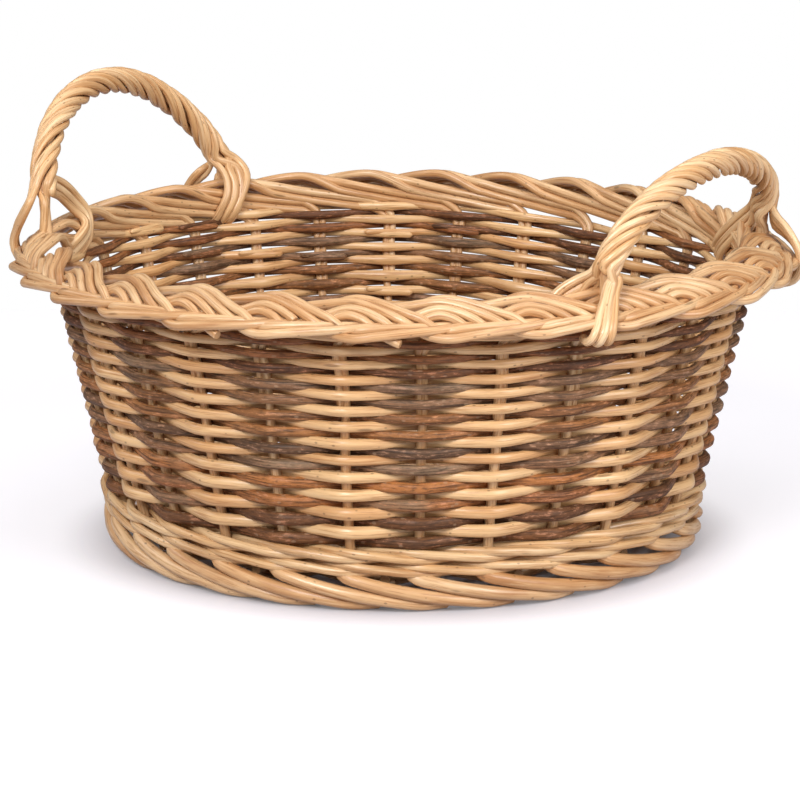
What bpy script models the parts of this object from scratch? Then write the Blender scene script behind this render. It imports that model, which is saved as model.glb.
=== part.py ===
"""Round gift basket of woven willow with two rope-twisted handles, modelled rod by rod.

Units are metres, +Z is up, and the origin lies on the floor under the middle of the base.
The handles stand on the X axis. Places round the basket are counted in turns of one stake
spacing: stake_01 stands at turn 0, stake_02 at turn 1, and turn 0.5 is midway between them.
"""

import math

import bpy
import bmesh
from mathutils import Matrix, Vector

# Main sizes, each to the middle of the rods
RIM_RADIUS = 0.1603
RIM_HEIGHT = 0.1284
FOOT_RADIUS = 0.1252
FOOT_HEIGHT = 0.0158
LEFT_HANDLE_HEIGHT = 0.1923
RIGHT_HANDLE_HEIGHT = 0.1778

# Rods
STAKE_COUNT = 28
STAKE_DIAMETER = 0.0043
WALE_DIAMETER = 0.0027
BASE_STICK_DIAMETER = 0.0046
BASE_WEAVER_DIAMETER = 0.0044
BOW_DIAMETER = 0.0038
WRAP_DIAMETER = 0.0032
CLEARANCE = 0.0004
WELD_DISTANCE = 0.00001
FOOT_THICKENING_SHARE = 1.08
RIM_THICKENING_SHARE = 1.40

# Foot border
FOOT_SPREAD = 0.0064
FOOT_FLAT = 0.0005
FLOOR_CUTTER_DEPTH = 0.01
FLOOR_CUTTER_MARGIN = 0.02

# Wall
WALE_ROD_COUNT = 3
WALE_ROUND_COUNT = 2
WALE_BULGE = 0.0019
ROW_PAIR_HEIGHT = 0.0074
ROW_TAPER_SHARE = 0.18
WEAVER_COUNT = 6
STEP_STAKE_COUNT = 4
SEAM_STAKE = 9
JOIN_SHARE = 0.38
JOIN_GAP = 0.0015

# Rim border
RIM_LIFT = 0.0117
RIM_OVERHANG = 0.0080
RIM_HALF_WIDTH = 0.0120
RIM_TILT = math.radians(33.7)
RIM_PERIOD_TURNS = 3
RIM_END_TURNS = 2.65
RIM_BEND_TURNS = 0.12
RIM_BEND_DROP = 0.0065

# Base
SPLIT_STICK_COUNT = 3
THROUGH_STICK_COUNT = 4
BASE_WEAVER_COUNT = 2
SPLIT_THICKENING_SHARE = 1.75
BASE_WEAVE_START = 0.0345
BASE_STICK_REACH = 0.0027
ANGLE_HALVING_COUNT = 24
SLATH_MARGIN = 0.0035
SLATH_BEND = 0.0040

# Handles
RIGHT_HANDLE_TURN = -0.5
LEFT_HALF_SPAN_TURNS = 2.12
RIGHT_HALF_SPAN_TURNS = 2.30
ROPE_FOOT_LIFT = 0.0175
ROPE_FOOT_INSET = 0.0025
LEFT_LEAN = 0.0179
RIGHT_LEAN = 0.0097
LEFT_POINTING_SHARE = 1.34
RIGHT_POINTING_SHARE = 1.06
ROPE_FOOT_FLARE_SHARE = 1.35
WRAP_COUNT = 3
ROPE_TWIST_COUNT = 4
TWIST_POINT_COUNT = 7
BOW_SEGMENT_COUNT = 24
STATION_SAMPLE_COUNT = 28
BOW_TAIL = 0.0310
HOOK_SPREAD = 0.0085
HOOK_MARGIN = 0.0010

# Length of a direction, and of a cube's side before it is scaled to size
UNIT = 1.0

# Places that follow the sizes above
STAKE_TURN = 2 * math.pi / STAKE_COUNT
STAKE_RADIUS = STAKE_DIAMETER / 2
WALE_RADIUS = WALE_DIAMETER / 2
FOOT_ROD_RADIUS = STAKE_RADIUS * FOOT_THICKENING_SHARE
RIM_ROD_RADIUS = STAKE_RADIUS * RIM_THICKENING_SHARE
BASE_STICK_RADIUS = BASE_STICK_DIAMETER / 2
BASE_STICK_HEIGHT = FOOT_HEIGHT - CLEARANCE - BASE_STICK_RADIUS
BASE_WEAVER_RADIUS = BASE_WEAVER_DIAMETER / 2
BOW_RADIUS = BOW_DIAMETER / 2
WRAP_RADIUS = WRAP_DIAMETER / 2

WALE_PITCH = WALE_DIAMETER + CLEARANCE
WALE_HEIGHT = FOOT_HEIGHT + WALE_PITCH / 2 + WALE_RADIUS
WALE_TOP = FOOT_HEIGHT + 2 * WALE_ROUND_COUNT * WALE_PITCH - CLEARANCE
ROWS_BOTTOM = WALE_TOP + CLEARANCE / 2
ROWS_TOP = RIM_HEIGHT - RIM_LIFT
ROW_PAIR_COUNT = round((ROWS_TOP - ROWS_BOTTOM) / ROW_PAIR_HEIGHT)
ROW_COUNT = 2 * ROW_PAIR_COUNT
# Stakes that each side weaver passes, an even number so that every rod starts on the same side
WEAVER_STAKE_COUNT = 2 * round(ROW_PAIR_COUNT * STAKE_COUNT / (2 * WEAVER_COUNT))
WALL_FLARE = (RIM_RADIUS - RIM_OVERHANG - FOOT_RADIUS) / (RIM_HEIGHT - FOOT_HEIGHT)
STEP_START = STAKE_COUNT - STEP_STAKE_COUNT
WALL_STEP = STAKE_RADIUS + CLEARANCE


def kink_offset(distance, run):
    """Return how far out a kink lies, so that the straight runs beside it keep this distance.

    The rod falls by the kink's offset over each run.
    """
    return distance / math.sqrt(1 - (distance / run) ** 2)


RIM_LAYER = kink_offset(2 * RIM_ROD_RADIUS + CLEARANCE, RIM_HALF_WIDTH) / 2

# Foot run of a stake: turns onwards, share of the spread, share of the height
FOOT_RUN_SHARES = (
    (2.65, 0.10, 0.0),
    (2.20, 0.18, 0.0),
    (1.65, 0.84, 0.30),
    (1.00, 1.00, 0.62),
    (0.40, 0.92, 0.88),
    (0.10, 0.30, 0.95),
)
# A wale rod's stroke from behind one stake to behind the next but two: turns onwards, share of
# the reach from the stake circle, share of the bulge, share of half the pitch upwards
WALE_STROKE_SHARES = (
    (0.0, -1.0, 0.0, 0.0),
    (0.5, 0.0, 0.0, 1.0),
    (1.0, 1.0, 1.0, 1.0),
    (2.0, 1.0, 1.0, -1.0),
    (2.5, 0.0, 0.0, -1.0),
)
# Braid of the rim: turns onwards, share of the half width, share of the layer
RIM_RUN_SHARES = (
    (0.5, -0.5, 1.0),
    (1.0, 0.5, -1.0),
    (1.5, 1.0, 0.0),
    (2.0, 0.5, 1.0),
    (2.5, -0.5, -1.0),
)
# Angles round the rim's section at which a handle's rods turn over it
HOOK_ANGLES = tuple(math.radians(angle) for angle in (72, 36, 0, -36, -72))
BOW_ANGLES = tuple(math.radians(angle) for angle in (125, 155, 180))

BUFF = (0.68, 0.42, 0.20)
PALE_BUFF = (0.74, 0.50, 0.27)
BASE_BUFF = (0.60, 0.38, 0.19)
DARK_TONES = (
    (0.13, 0.055, 0.025),
    (0.20, 0.085, 0.032),
    (0.11, 0.075, 0.055),
    (0.24, 0.10, 0.035),
    (0.09, 0.080, 0.075),
    (0.17, 0.070, 0.030),
)
WILLOW_ROUGHNESS = 0.5


def spot(turn, radius, height):
    """Return the point at this turn, distance from the axis and height."""
    angle = (turn + 0.5) * STAKE_TURN
    return Vector((radius * math.cos(angle), radius * math.sin(angle), height))


def wall_radius(height):
    """Return the stake circle's radius at this height."""
    return FOOT_RADIUS + (height - FOOT_HEIGHT) * WALL_FLARE


def smooth(share):
    """Return a share from 0 to 1 eased at both ends."""
    share = min(max(share, 0.0), 1.0)
    return share * share * (3.0 - 2.0 * share)


def climbed(turn, rise):
    """Return the height gained at this turn by a rod that rises once a round, at the seam."""
    rounds, rest = divmod(max(turn - SEAM_STAKE, 0), STAKE_COUNT)
    return rise * (rounds + smooth((rest - STEP_START) / STEP_STAKE_COUNT))


def between(start, end, share):
    """Return the point at this share of the way between two points."""
    return start.lerp(end, share)


def row_place(row):
    """Return (height, rod radius) of this row's middle, counted from 0; rows get lower upwards."""
    share = (row + 0.5) / ROW_COUNT
    full = ROWS_TOP - ROWS_BOTTOM
    height = ROWS_BOTTOM + full * share * (1 + ROW_TAPER_SHARE * (1 - share))
    pitch = full / ROW_COUNT * (1 + ROW_TAPER_SHARE * (1 - 2 * share))
    return height, (pitch - CLEARANCE) / 2


def rim_section(lateral, lift):
    """Return (radius, height) of a place in the rim's tilted section."""
    radius = RIM_RADIUS + lateral * math.cos(RIM_TILT) + lift * math.sin(RIM_TILT)
    height = RIM_HEIGHT - lateral * math.sin(RIM_TILT) + lift * math.cos(RIM_TILT)
    return radius, height


def new_material(name, colour):
    """Return a Principled material of one willow colour."""
    material = bpy.data.materials.new(name)
    material.use_nodes = True
    shader = material.node_tree.nodes["Principled BSDF"]
    shader.inputs["Base Color"].default_value = (*colour, 1.0)
    shader.inputs["Roughness"].default_value = WILLOW_ROUGHNESS
    shader.inputs["Metallic"].default_value = 0.0
    material.diffuse_color = (*colour, 1.0)
    return material


def new_rod(name, points, radius, colour, collection, shares=None, level=True):
    """Add a rod along these points as a bevelled curve and return it."""
    curve = bpy.data.curves.new(name, "CURVE")
    curve.dimensions = "3D"
    curve.twist_mode = "Z_UP" if level else "MINIMUM"
    curve.bevel_depth = radius
    curve.bevel_resolution = 1
    curve.use_fill_caps = True
    spline = curve.splines.new("POLY")
    spline.points.add(len(points) - 1)
    shares = shares or [1.0] * len(points)
    for knot, point, share in zip(spline.points, points, shares):
        knot.co = (*point, 1.0)
        knot.radius = share
    spline.use_smooth = True
    curve.materials.append(new_material(name, colour))
    rod = bpy.data.objects.new(name, curve)
    collection.objects.link(rod)
    return rod


def meshed(rod, collection):
    """Replace a curve object with a welded mesh object of the same name and return it."""
    name = rod.name
    graph = bpy.context.evaluated_depsgraph_get()
    mesh = bpy.data.meshes.new_from_object(rod.evaluated_get(graph))
    cleaner = bmesh.new()
    cleaner.from_mesh(mesh)
    bmesh.ops.remove_doubles(cleaner, verts=cleaner.verts, dist=WELD_DISTANCE)
    cleaner.to_mesh(mesh)
    cleaner.free()
    solid = bpy.data.objects.new(name, mesh)
    solid.matrix_world = rod.matrix_world
    collection.objects.link(solid)
    bpy.data.objects.remove(rod)
    solid.name = name
    return solid


def cut(solid, cutter):
    """Cut the cutter's shape from a solid with a Boolean modifier."""
    modifier = solid.modifiers.new(cutter.name, "BOOLEAN")
    modifier.operation = "DIFFERENCE"
    modifier.object = cutter


def hide_cutter(cutter, name, collection):
    """Name a cutter, put it in its collection and keep it out of renders."""
    cutter.name = name
    cutter.display_type = "WIRE"
    cutter.hide_render = True
    for old in list(cutter.users_collection):
        old.objects.unlink(cutter)
    collection.objects.link(cutter)


def stake_run():
    """Return the points and thickness shares of stake 0, from its foot end to its rim end."""
    low = FOOT_ROD_RADIUS - FOOT_FLAT
    high = FOOT_HEIGHT - CLEARANCE - FOOT_ROD_RADIUS
    points = []
    shares = []
    for turn, spread, share in FOOT_RUN_SHARES:
        points.append(spot(turn, FOOT_RADIUS + spread * FOOT_SPREAD, low + share * (high - low)))
        shares.append(FOOT_THICKENING_SHARE)
    inner_radius, inner_height = rim_section(-RIM_HALF_WIDTH, 0.0)
    shoulder = inner_height - RIM_BEND_DROP
    for height in (WALE_HEIGHT, RIM_HEIGHT - RIM_LIFT / 2):
        points.append(spot(0.0, wall_radius(height), height))
        shares.append(1.0)
    points.append(spot(0.0, (inner_radius + wall_radius(shoulder)) / 2, shoulder))
    shares.append(1.0)
    points.append(spot(RIM_BEND_TURNS, inner_radius, inner_height))
    shares.append(RIM_THICKENING_SHARE)
    for turn, width, layer in RIM_RUN_SHARES:
        points.append(spot(turn, *rim_section(width * RIM_HALF_WIDTH, layer * RIM_LAYER)))
        shares.append(RIM_THICKENING_SHARE)
    last_turn = RIM_RUN_SHARES[-1][0]
    period_end = spot(RIM_PERIOD_TURNS, inner_radius, inner_height)
    tail_share = (RIM_END_TURNS - last_turn) / (RIM_PERIOD_TURNS - last_turn)
    points.append(between(points[-1], period_end, tail_share))
    shares.append(RIM_THICKENING_SHARE)
    return points, shares


def add_stakes(basket, cutters):
    """Add the stakes, each cut flat underneath where it lies on the floor."""
    bpy.ops.mesh.primitive_cylinder_add(
        vertices=STAKE_COUNT,
        radius=FOOT_RADIUS + FOOT_SPREAD + FLOOR_CUTTER_MARGIN,
        depth=FLOOR_CUTTER_DEPTH,
        location=(0.0, 0.0, -FLOOR_CUTTER_DEPTH / 2),
    )
    floor_cutter = bpy.context.object
    hide_cutter(floor_cutter, "floor_cutter", cutters)
    points, shares = stake_run()
    stake = new_rod("stake_01", points, STAKE_RADIUS, BUFF, basket, shares, level=False)
    stake = meshed(stake, basket)
    cut(stake, floor_cutter)
    for index in range(1, STAKE_COUNT):
        copy = bpy.data.objects.new(f"stake_{index + 1:02d}", stake.data)
        copy.matrix_world = Matrix.Rotation(index * STAKE_TURN, 4, "Z")
        basket.objects.link(copy)
        cut(copy, floor_cutter)


def weaver_crossing(turn, first_row, outside):
    """Return (point, thickness share) where a side weaver passes in front of a stake or behind it."""
    height, rod_radius = row_place(first_row + climbed(turn, 2))
    radius = wall_radius(height)
    reach = kink_offset(WALL_STEP + rod_radius, radius * STAKE_TURN / 2)
    return spot(turn, radius + (reach if outside else -reach), height), rod_radius / STAKE_RADIUS


def add_weavers(kind, first_stake, first_row, colours, basket):
    """Add one colour's side weavers, which run end to end and change sides at every stake."""
    crossings = []
    thicknesses = []
    last = SEAM_STAKE + (ROW_PAIR_COUNT - 1) * STAKE_COUNT + STEP_START
    for turn in range(first_stake - 1, last + 1):
        outside = (turn - first_stake) % 2 == 0
        point, share = weaver_crossing(turn, first_row, outside)
        crossings.append(point)
        thicknesses.append(share)
    gap_share = JOIN_GAP / (crossings[1] - crossings[0]).length
    for index in range(WEAVER_COUNT):
        start = index * WEAVER_STAKE_COUNT
        run = crossings[start + 1 : start + WEAVER_STAKE_COUNT + 1]
        head = between(crossings[start], crossings[start + 1], JOIN_SHARE + gap_share)
        points = [head, *run]
        after = start + WEAVER_STAKE_COUNT + 1
        if after < len(crossings):
            points.append(between(crossings[after - 1], crossings[after], JOIN_SHARE))
        shares = thicknesses[start : start + len(points)]
        name = f"{kind}_weaver_{index + 1}"
        new_rod(name, points, STAKE_RADIUS, colours[index], basket, shares)


def add_wale(basket):
    """Add the three wale rods, each in front of two stakes and then behind one."""
    reach = WALL_STEP + WALE_RADIUS
    last = SEAM_STAKE + (WALE_ROUND_COUNT - 1) * STAKE_COUNT + STEP_START
    for index in range(WALE_ROD_COUNT):
        points = []
        for start in range(SEAM_STAKE + index, last + 1, WALE_ROD_COUNT):
            for onward, share, bulge_share, rise_share in WALE_STROKE_SHARES:
                turn = start + onward
                if turn > last:
                    break
                out = share * reach + bulge_share * WALE_BULGE
                rise = rise_share * WALE_PITCH / 2
                height = WALE_HEIGHT + climbed(turn, 2 * WALE_PITCH) + rise
                points.append(spot(turn, wall_radius(height) + out, height))
        new_rod(f"wale_rod_{index + 1}", points, WALE_RADIUS, PALE_BUFF, basket)


def stick_points(angle, offset, straight, along_y):
    """Return a base stick's four points, mirrored across the middle of the base."""
    end_radius = FOOT_RADIUS + BASE_STICK_REACH
    side = [
        Vector((straight, offset, BASE_STICK_HEIGHT)),
        Vector((end_radius * math.cos(angle), end_radius * math.sin(angle), BASE_STICK_HEIGHT)),
    ]
    points = [Vector((-point.x, point.y, point.z)) for point in reversed(side)] + side
    if along_y:
        points = [Vector((point.y, point.x, point.z)) for point in points]
    return points


def split_points(points, straight, swollen):
    """Add the swollen middle's ends to a split stick and return its points and thickness shares."""
    middle = [between(points[1], points[2], 0.5 + side * swollen / (2 * straight)) for side in (-1, 1)]
    shares = [1.0, 1.0, SPLIT_THICKENING_SHARE, SPLIT_THICKENING_SHARE, 1.0, 1.0]
    return [*points[:2], *middle, *points[2:]], shares


def base_sticks():
    """Return each base stick as (points, thickness shares, whether it is split)."""
    spoke = math.pi / (SPLIT_STICK_COUNT + THROUGH_STICK_COUNT)
    through_pitch = BASE_STICK_DIAMETER + CLEARANCE
    split_pitch = BASE_STICK_DIAMETER * SPLIT_THICKENING_SHARE + CLEARANCE
    through_half = THROUGH_STICK_COUNT * through_pitch / 2
    split_half = SPLIT_STICK_COUNT * split_pitch / 2
    sticks = []
    for index in range(THROUGH_STICK_COUNT):
        place = index - (THROUGH_STICK_COUNT - 1) / 2
        straight = split_half + SLATH_MARGIN
        points = stick_points(place * spoke, place * through_pitch, straight, along_y=False)
        sticks.append((points, [1.0] * len(points), False))
    for index in range(SPLIT_STICK_COUNT):
        place = index - (SPLIT_STICK_COUNT - 1) / 2
        swollen = through_half + SLATH_MARGIN
        straight = swollen + SLATH_BEND
        points = stick_points(place * spoke, place * split_pitch, straight, along_y=True)
        sticks.append((*split_points(points, straight, swollen), True))
    return sticks


def add_base_sticks(basket, cutters):
    """Add the crossed sticks of the base: three split ones with four pushed through them."""
    through_pitch = BASE_STICK_DIAMETER + CLEARANCE
    slot_height = BASE_STICK_DIAMETER + 2 * CLEARANCE
    slot_width = THROUGH_STICK_COUNT * through_pitch + CLEARANCE
    split_pitch = BASE_STICK_DIAMETER * SPLIT_THICKENING_SHARE + CLEARANCE
    bpy.ops.mesh.primitive_cube_add(size=UNIT, location=(0.0, 0.0, BASE_STICK_HEIGHT))
    slot_cutter = bpy.context.object
    slot_cutter.scale = ((SPLIT_STICK_COUNT + 1) * split_pitch, slot_width, slot_height)
    bpy.ops.object.transform_apply(location=False, rotation=False, scale=True)
    hide_cutter(slot_cutter, "slot_cutter", cutters)
    for index, (points, shares, split) in enumerate(base_sticks()):
        name = f"base_stick_{index + 1}"
        stick = new_rod(name, points, BASE_STICK_RADIUS, BASE_BUFF, basket, shares)
        if split:
            cut(meshed(stick, basket), slot_cutter)


def crossing_angle(points, radius):
    """Return the angle at which a stick's run from its bend to its end has this radius."""
    bend, end = points
    low, high = 0.0, 1.0
    for _ in range(ANGLE_HALVING_COUNT):
        share = (low + high) / 2
        place = between(bend, end, share)
        if math.hypot(place.x, place.y) < radius:
            low = share
        else:
            high = share
    return math.atan2(place.y, place.x)


def add_base_weavers(basket):
    """Add the two rods that chase each other outwards, over and under the sticks of the base."""
    spokes = []
    for points, _, _ in base_sticks():
        spokes.append((points[-2], points[-1]))
        spokes.append((points[1], points[0]))
    spokes.sort(key=lambda spoke: math.atan2(spoke[1].y, spoke[1].x) % (2 * math.pi))
    pitch = BASE_WEAVER_DIAMETER + CLEARANCE
    apart = BASE_STICK_RADIUS + BASE_WEAVER_RADIUS + CLEARANCE
    wale_inside = wall_radius(WALE_HEIGHT) - WALL_STEP - WALE_DIAMETER
    last_radius = wale_inside - CLEARANCE - BASE_WEAVER_RADIUS
    for index in range(BASE_WEAVER_COUNT):
        points = []
        step = 0
        radius = BASE_WEAVE_START + index * pitch
        while radius <= last_radius:
            angle = crossing_angle(spokes[step % len(spokes)], radius)
            side = 1 if (step + index) % 2 == 0 else -1
            place = (radius * math.cos(angle), radius * math.sin(angle))
            lift = kink_offset(apart, math.pi * radius / len(spokes))
            points.append(Vector((*place, BASE_STICK_HEIGHT + side * lift)))
            step += 1
            radius += BASE_WEAVER_COUNT * pitch / len(spokes)
        new_rod(f"base_weaver_{index + 1}", points, BASE_WEAVER_RADIUS, BASE_BUFF, basket)


class HandlePath:
    """Middle line of one handle's rope, an arch that springs from the rim border."""

    def __init__(self, middle_turn, half_span, top, lean, pointing):
        """Lay out the arch over a span of turns round middle_turn, up to this height."""
        self.pointing = pointing
        foot_radius = RIM_RADIUS - ROPE_FOOT_INSET
        foot_height = RIM_HEIGHT + ROPE_FOOT_LIFT
        rise = top - foot_height
        self.start = spot(middle_turn - half_span, foot_radius, foot_height)
        self.end = spot(middle_turn + half_span, foot_radius, foot_height)
        outward = spot(middle_turn, UNIT, 0.0)
        self.up = outward * lean + Vector((0.0, 0.0, rise))
        self.centre = (self.start + self.end) / 2
        self.across = (self.start - self.end) / 2
        self.normal = self.across.cross(self.up).normalized()
        if self.normal.dot(outward) < 0:
            self.normal.negate()

    def raw_point(self, share):
        """Return the arch's point at this share of its sweep."""
        angle = math.pi * share
        height = max(math.sin(angle), 0.0) ** self.pointing
        return self.centre + self.across * math.cos(angle) + self.up * height

    def stations(self, count):
        """Return count + 1 (point, tangent) pairs, evenly spaced along the arch."""
        fine = STATION_SAMPLE_COUNT * count
        raw = [self.raw_point(step / fine) for step in range(fine + 1)]
        lengths = [0.0]
        for first, second in zip(raw, raw[1:]):
            lengths.append(lengths[-1] + (second - first).length)
        found = []
        index = 0
        for step in range(count + 1):
            target = lengths[-1] * step / count
            while index < fine - 1 and lengths[index + 1] < target:
                index += 1
            span = lengths[index + 1] - lengths[index]
            point = between(raw[index], raw[index + 1], (target - lengths[index]) / span)
            found.append((point, (raw[index + 1] - raw[index]).normalized()))
        return found


def rim_hook(turn, side, margin, angles):
    """Return points that pass round the rim border at this turn, set to one side of it."""
    wide = RIM_HALF_WIDTH + RIM_ROD_RADIUS + margin
    thick = RIM_LAYER + RIM_ROD_RADIUS + margin
    points = []
    for angle in angles:
        radius, height = rim_section(wide * math.cos(angle), thick * math.sin(angle))
        points.append(spot(turn + side / (radius * STAKE_TURN), radius, height))
    return points


def bow_tail(turn):
    """Return a bow's points from the rim border down the inside of the wall."""
    points = rim_hook(turn, 0.0, BOW_RADIUS + HOOK_MARGIN, BOW_ANGLES)
    for height in (ROWS_TOP, ROWS_TOP - BOW_TAIL):
        row = ROW_COUNT * (height - ROWS_BOTTOM) / (ROWS_TOP - ROWS_BOTTOM)
        weaver_radius = row_place(min(row, ROW_COUNT) - 1)[1]
        reach = WALL_STEP + 2 * weaver_radius + CLEARANCE + BOW_RADIUS
        points.append(spot(turn, wall_radius(height) - reach, height))
    return points


def add_handle(name, middle_turn, half_span, path, basket):
    """Add one handle: a bow pushed down inside the wall, and the rods that wind round it."""
    first_turn = middle_turn - half_span
    last_turn = middle_turn + half_span
    bow = [point for point, _ in path.stations(BOW_SEGMENT_COUNT)]
    points = [*reversed(bow_tail(first_turn)), *bow, *bow_tail(last_turn)]
    new_rod(f"{name}_handle_bow", points, BOW_RADIUS, BUFF, basket, level=False)
    count = ROPE_TWIST_COUNT * TWIST_POINT_COUNT
    stations = path.stations(count)
    # The chords of a wound rod lie inside its helix by this share of its radius
    chord_share = math.cos(math.pi / TWIST_POINT_COUNT)
    wind = (BOW_RADIUS + WRAP_RADIUS + CLEARANCE) / chord_share
    for index in range(WRAP_COUNT):
        winding = []
        for step, (point, tangent) in enumerate(stations):
            angle = 2 * math.pi * (index / WRAP_COUNT + step / TWIST_POINT_COUNT)
            across = tangent.cross(path.normal)
            offset = path.normal * math.cos(angle) + across * math.sin(angle)
            flare = ROPE_FOOT_FLARE_SHARE if step in (0, count) else 1.0
            winding.append(point + offset * wind * flare)
        side = math.sin(2 * math.pi * index / WRAP_COUNT) * HOOK_SPREAD
        margin = WRAP_RADIUS + HOOK_MARGIN
        start_side = stations[0][1].cross(path.normal).dot(path.across.normalized())
        first_hook = rim_hook(first_turn, -side * start_side, margin, HOOK_ANGLES)
        last_hook = rim_hook(last_turn, side * start_side, margin, HOOK_ANGLES)
        points = [*reversed(first_hook), *winding, *last_hook]
        wrap_name = f"{name}_handle_wrap_{index + 1}"
        new_rod(wrap_name, points, WRAP_RADIUS, PALE_BUFF, basket, level=False)


def new_collection(name):
    """Add a collection to the scene and return it."""
    collection = bpy.data.collections.new(name)
    bpy.context.scene.collection.children.link(collection)
    return collection


def main():
    """Clear the scene and build the basket."""
    for obj in list(bpy.data.objects):
        bpy.data.objects.remove(obj, do_unlink=True)
    basket = new_collection("gift_basket")
    cutters = new_collection("cutters")
    add_base_sticks(basket, cutters)
    add_base_weavers(basket)
    add_stakes(basket, cutters)
    add_wale(basket)
    add_weavers("dark", SEAM_STAKE, 0, DARK_TONES, basket)
    buffs = [BUFF] * WEAVER_COUNT
    add_weavers("light", SEAM_STAKE + 1, 1, buffs, basket)
    turn, span = RIGHT_HANDLE_TURN, RIGHT_HALF_SPAN_TURNS
    path = HandlePath(turn, span, RIGHT_HANDLE_HEIGHT, RIGHT_LEAN, RIGHT_POINTING_SHARE)
    add_handle("right", turn, span, path, basket)
    turn, span = RIGHT_HANDLE_TURN + STAKE_COUNT / 2, LEFT_HALF_SPAN_TURNS
    path = HandlePath(turn, span, LEFT_HANDLE_HEIGHT, LEFT_LEAN, LEFT_POINTING_SHARE)
    add_handle("left", turn, span, path, basket)


if __name__ == "__main__":
    main()
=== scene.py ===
"""Looks of a round willow gift basket with two rope-twisted handles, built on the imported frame.

Every rod is a swept tube with its own grain. Places round the basket are counted in turns of
one stake spacing, as in the part's source. Lengths are in metres.
"""

import logging
import math
from dataclasses import dataclass
from enum import Enum

import bpy
import numpy as np
from mathutils import Euler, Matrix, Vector


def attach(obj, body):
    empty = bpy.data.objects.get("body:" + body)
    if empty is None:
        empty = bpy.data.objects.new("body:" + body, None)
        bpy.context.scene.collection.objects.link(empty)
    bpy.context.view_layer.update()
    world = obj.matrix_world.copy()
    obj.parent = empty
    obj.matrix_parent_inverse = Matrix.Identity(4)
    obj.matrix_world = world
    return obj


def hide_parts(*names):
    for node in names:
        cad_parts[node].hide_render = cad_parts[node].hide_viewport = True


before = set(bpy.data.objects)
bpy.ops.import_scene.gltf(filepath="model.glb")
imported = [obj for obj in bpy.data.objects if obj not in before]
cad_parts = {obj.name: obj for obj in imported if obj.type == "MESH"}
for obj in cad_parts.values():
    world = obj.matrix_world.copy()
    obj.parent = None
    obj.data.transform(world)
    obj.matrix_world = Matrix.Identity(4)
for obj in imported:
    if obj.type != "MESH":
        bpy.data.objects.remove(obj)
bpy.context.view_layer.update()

LOG = logging.getLogger("gift_basket")
STAKE_COUNT = 28
TURN_ANGLE = 2.0 * math.pi / STAKE_COUNT
MM = 0.001
SHORTEST_RUN = 1e-9
SHORTEST_STEP = 1e-7

Array = np.ndarray
Socket = bpy.types.NodeSocket
Colour = tuple[float, float, float]
Place = tuple[float, float, float]
FootPlan = tuple[tuple[str, tuple[float, ...]], ...]


class RodEnd(Enum):
    """How a rod stops: its last ring's width, and how far that ring stands off, in radii."""

    CUT = (0.90, 0.12)
    TIP = (0.25, 1.0)


class Weave(Enum):
    """The two colours of the wall's weaving."""

    DARK = "dark"
    LIGHT = "light"


class RimRod(Enum):
    """The two rods of a stake, with their places in a band of four, in rod pitches."""

    STAKE = -1.5
    SECOND = -0.5


def smooth(share: Array) -> Array:
    """Return a share eased at both ends and held between 0 and 1."""
    share = np.clip(share, 0.0, 1.0)
    return share * share * (3.0 - 2.0 * share)


def eased(value: Array, start: float, length: float) -> Array:
    """Return 0 up to a start and 1 from a length beyond it, with a smooth change between."""
    return smooth((value - start) / length)


def on_ring(turn: Array | float, radius: Array | float, height: Array | float) -> Array:
    """Return the points at these turns, distances from the axis and heights.

    Args:
        turn: Places round the basket, in stake spacings.
        radius: Distances from the axis.
        height: Heights above the floor.

    Returns:
        One row of x, y and z for each place.
    """
    turn, radius, height = np.broadcast_arrays(turn, radius, height)
    angle = (turn + 0.5) * TURN_ANGLE
    return np.stack([radius * np.cos(angle), radius * np.sin(angle), height], axis=-1)


def run_lengths(points: Array) -> Array:
    """Return each point's distance along the line from its first point."""
    steps = np.linalg.norm(np.diff(points, axis=0), axis=1)
    return np.concatenate([[0.0], np.cumsum(steps)])


def flowing(points: Array, spacing: float) -> Array:
    """Return a smooth line through these points, as a centripetal Catmull-Rom curve.

    Args:
        points: The points that the line passes.
        spacing: About how far apart the new points lie.

    Returns:
        The points of the line, the first and last of those given among them.
    """
    points = np.asarray(points, float)
    before = 2.0 * points[0] - points[1]
    after = 2.0 * points[-1] - points[-2]
    knots = np.vstack([before, points, after])
    made = []
    for index in range(1, len(knots) - 2):
        p0, p1, p2, p3 = knots[index - 1 : index + 3]
        gaps = np.linalg.norm([p1 - p0, p2 - p1, p3 - p2], axis=1)
        step01, step12, step23 = np.sqrt(np.maximum(gaps, SHORTEST_STEP))
        count = max(2, int(gaps[1] / spacing + 0.5))
        share = np.linspace(0.0, 1.0, count, endpoint=False)[:, None]
        slope1 = (p1 - p0) / step01 - (p2 - p0) / (step01 + step12) + (p2 - p1) / step12
        slope2 = (p2 - p1) / step12 - (p3 - p1) / (step12 + step23) + (p3 - p2) / step23
        square, cube = share**2, share**3
        made.append(
            (2 * cube - 3 * square + 1) * p1
            + (cube - 2 * square + share) * slope1 * step12
            + (3 * square - 2 * cube) * p2
            + (cube - square) * slope2 * step12
        )
    made.append(points[-1:])
    return np.vstack(made)


@dataclass
class Rod:
    """One willow rod: the line that it follows, its thickness and its look."""

    points: Array
    radii: Array
    tone: float
    hue: float
    grain_start: float
    start: RodEnd = RodEnd.CUT
    end: RodEnd = RodEnd.CUT
    sides: int = 12
    oval: float = 0.0


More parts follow.
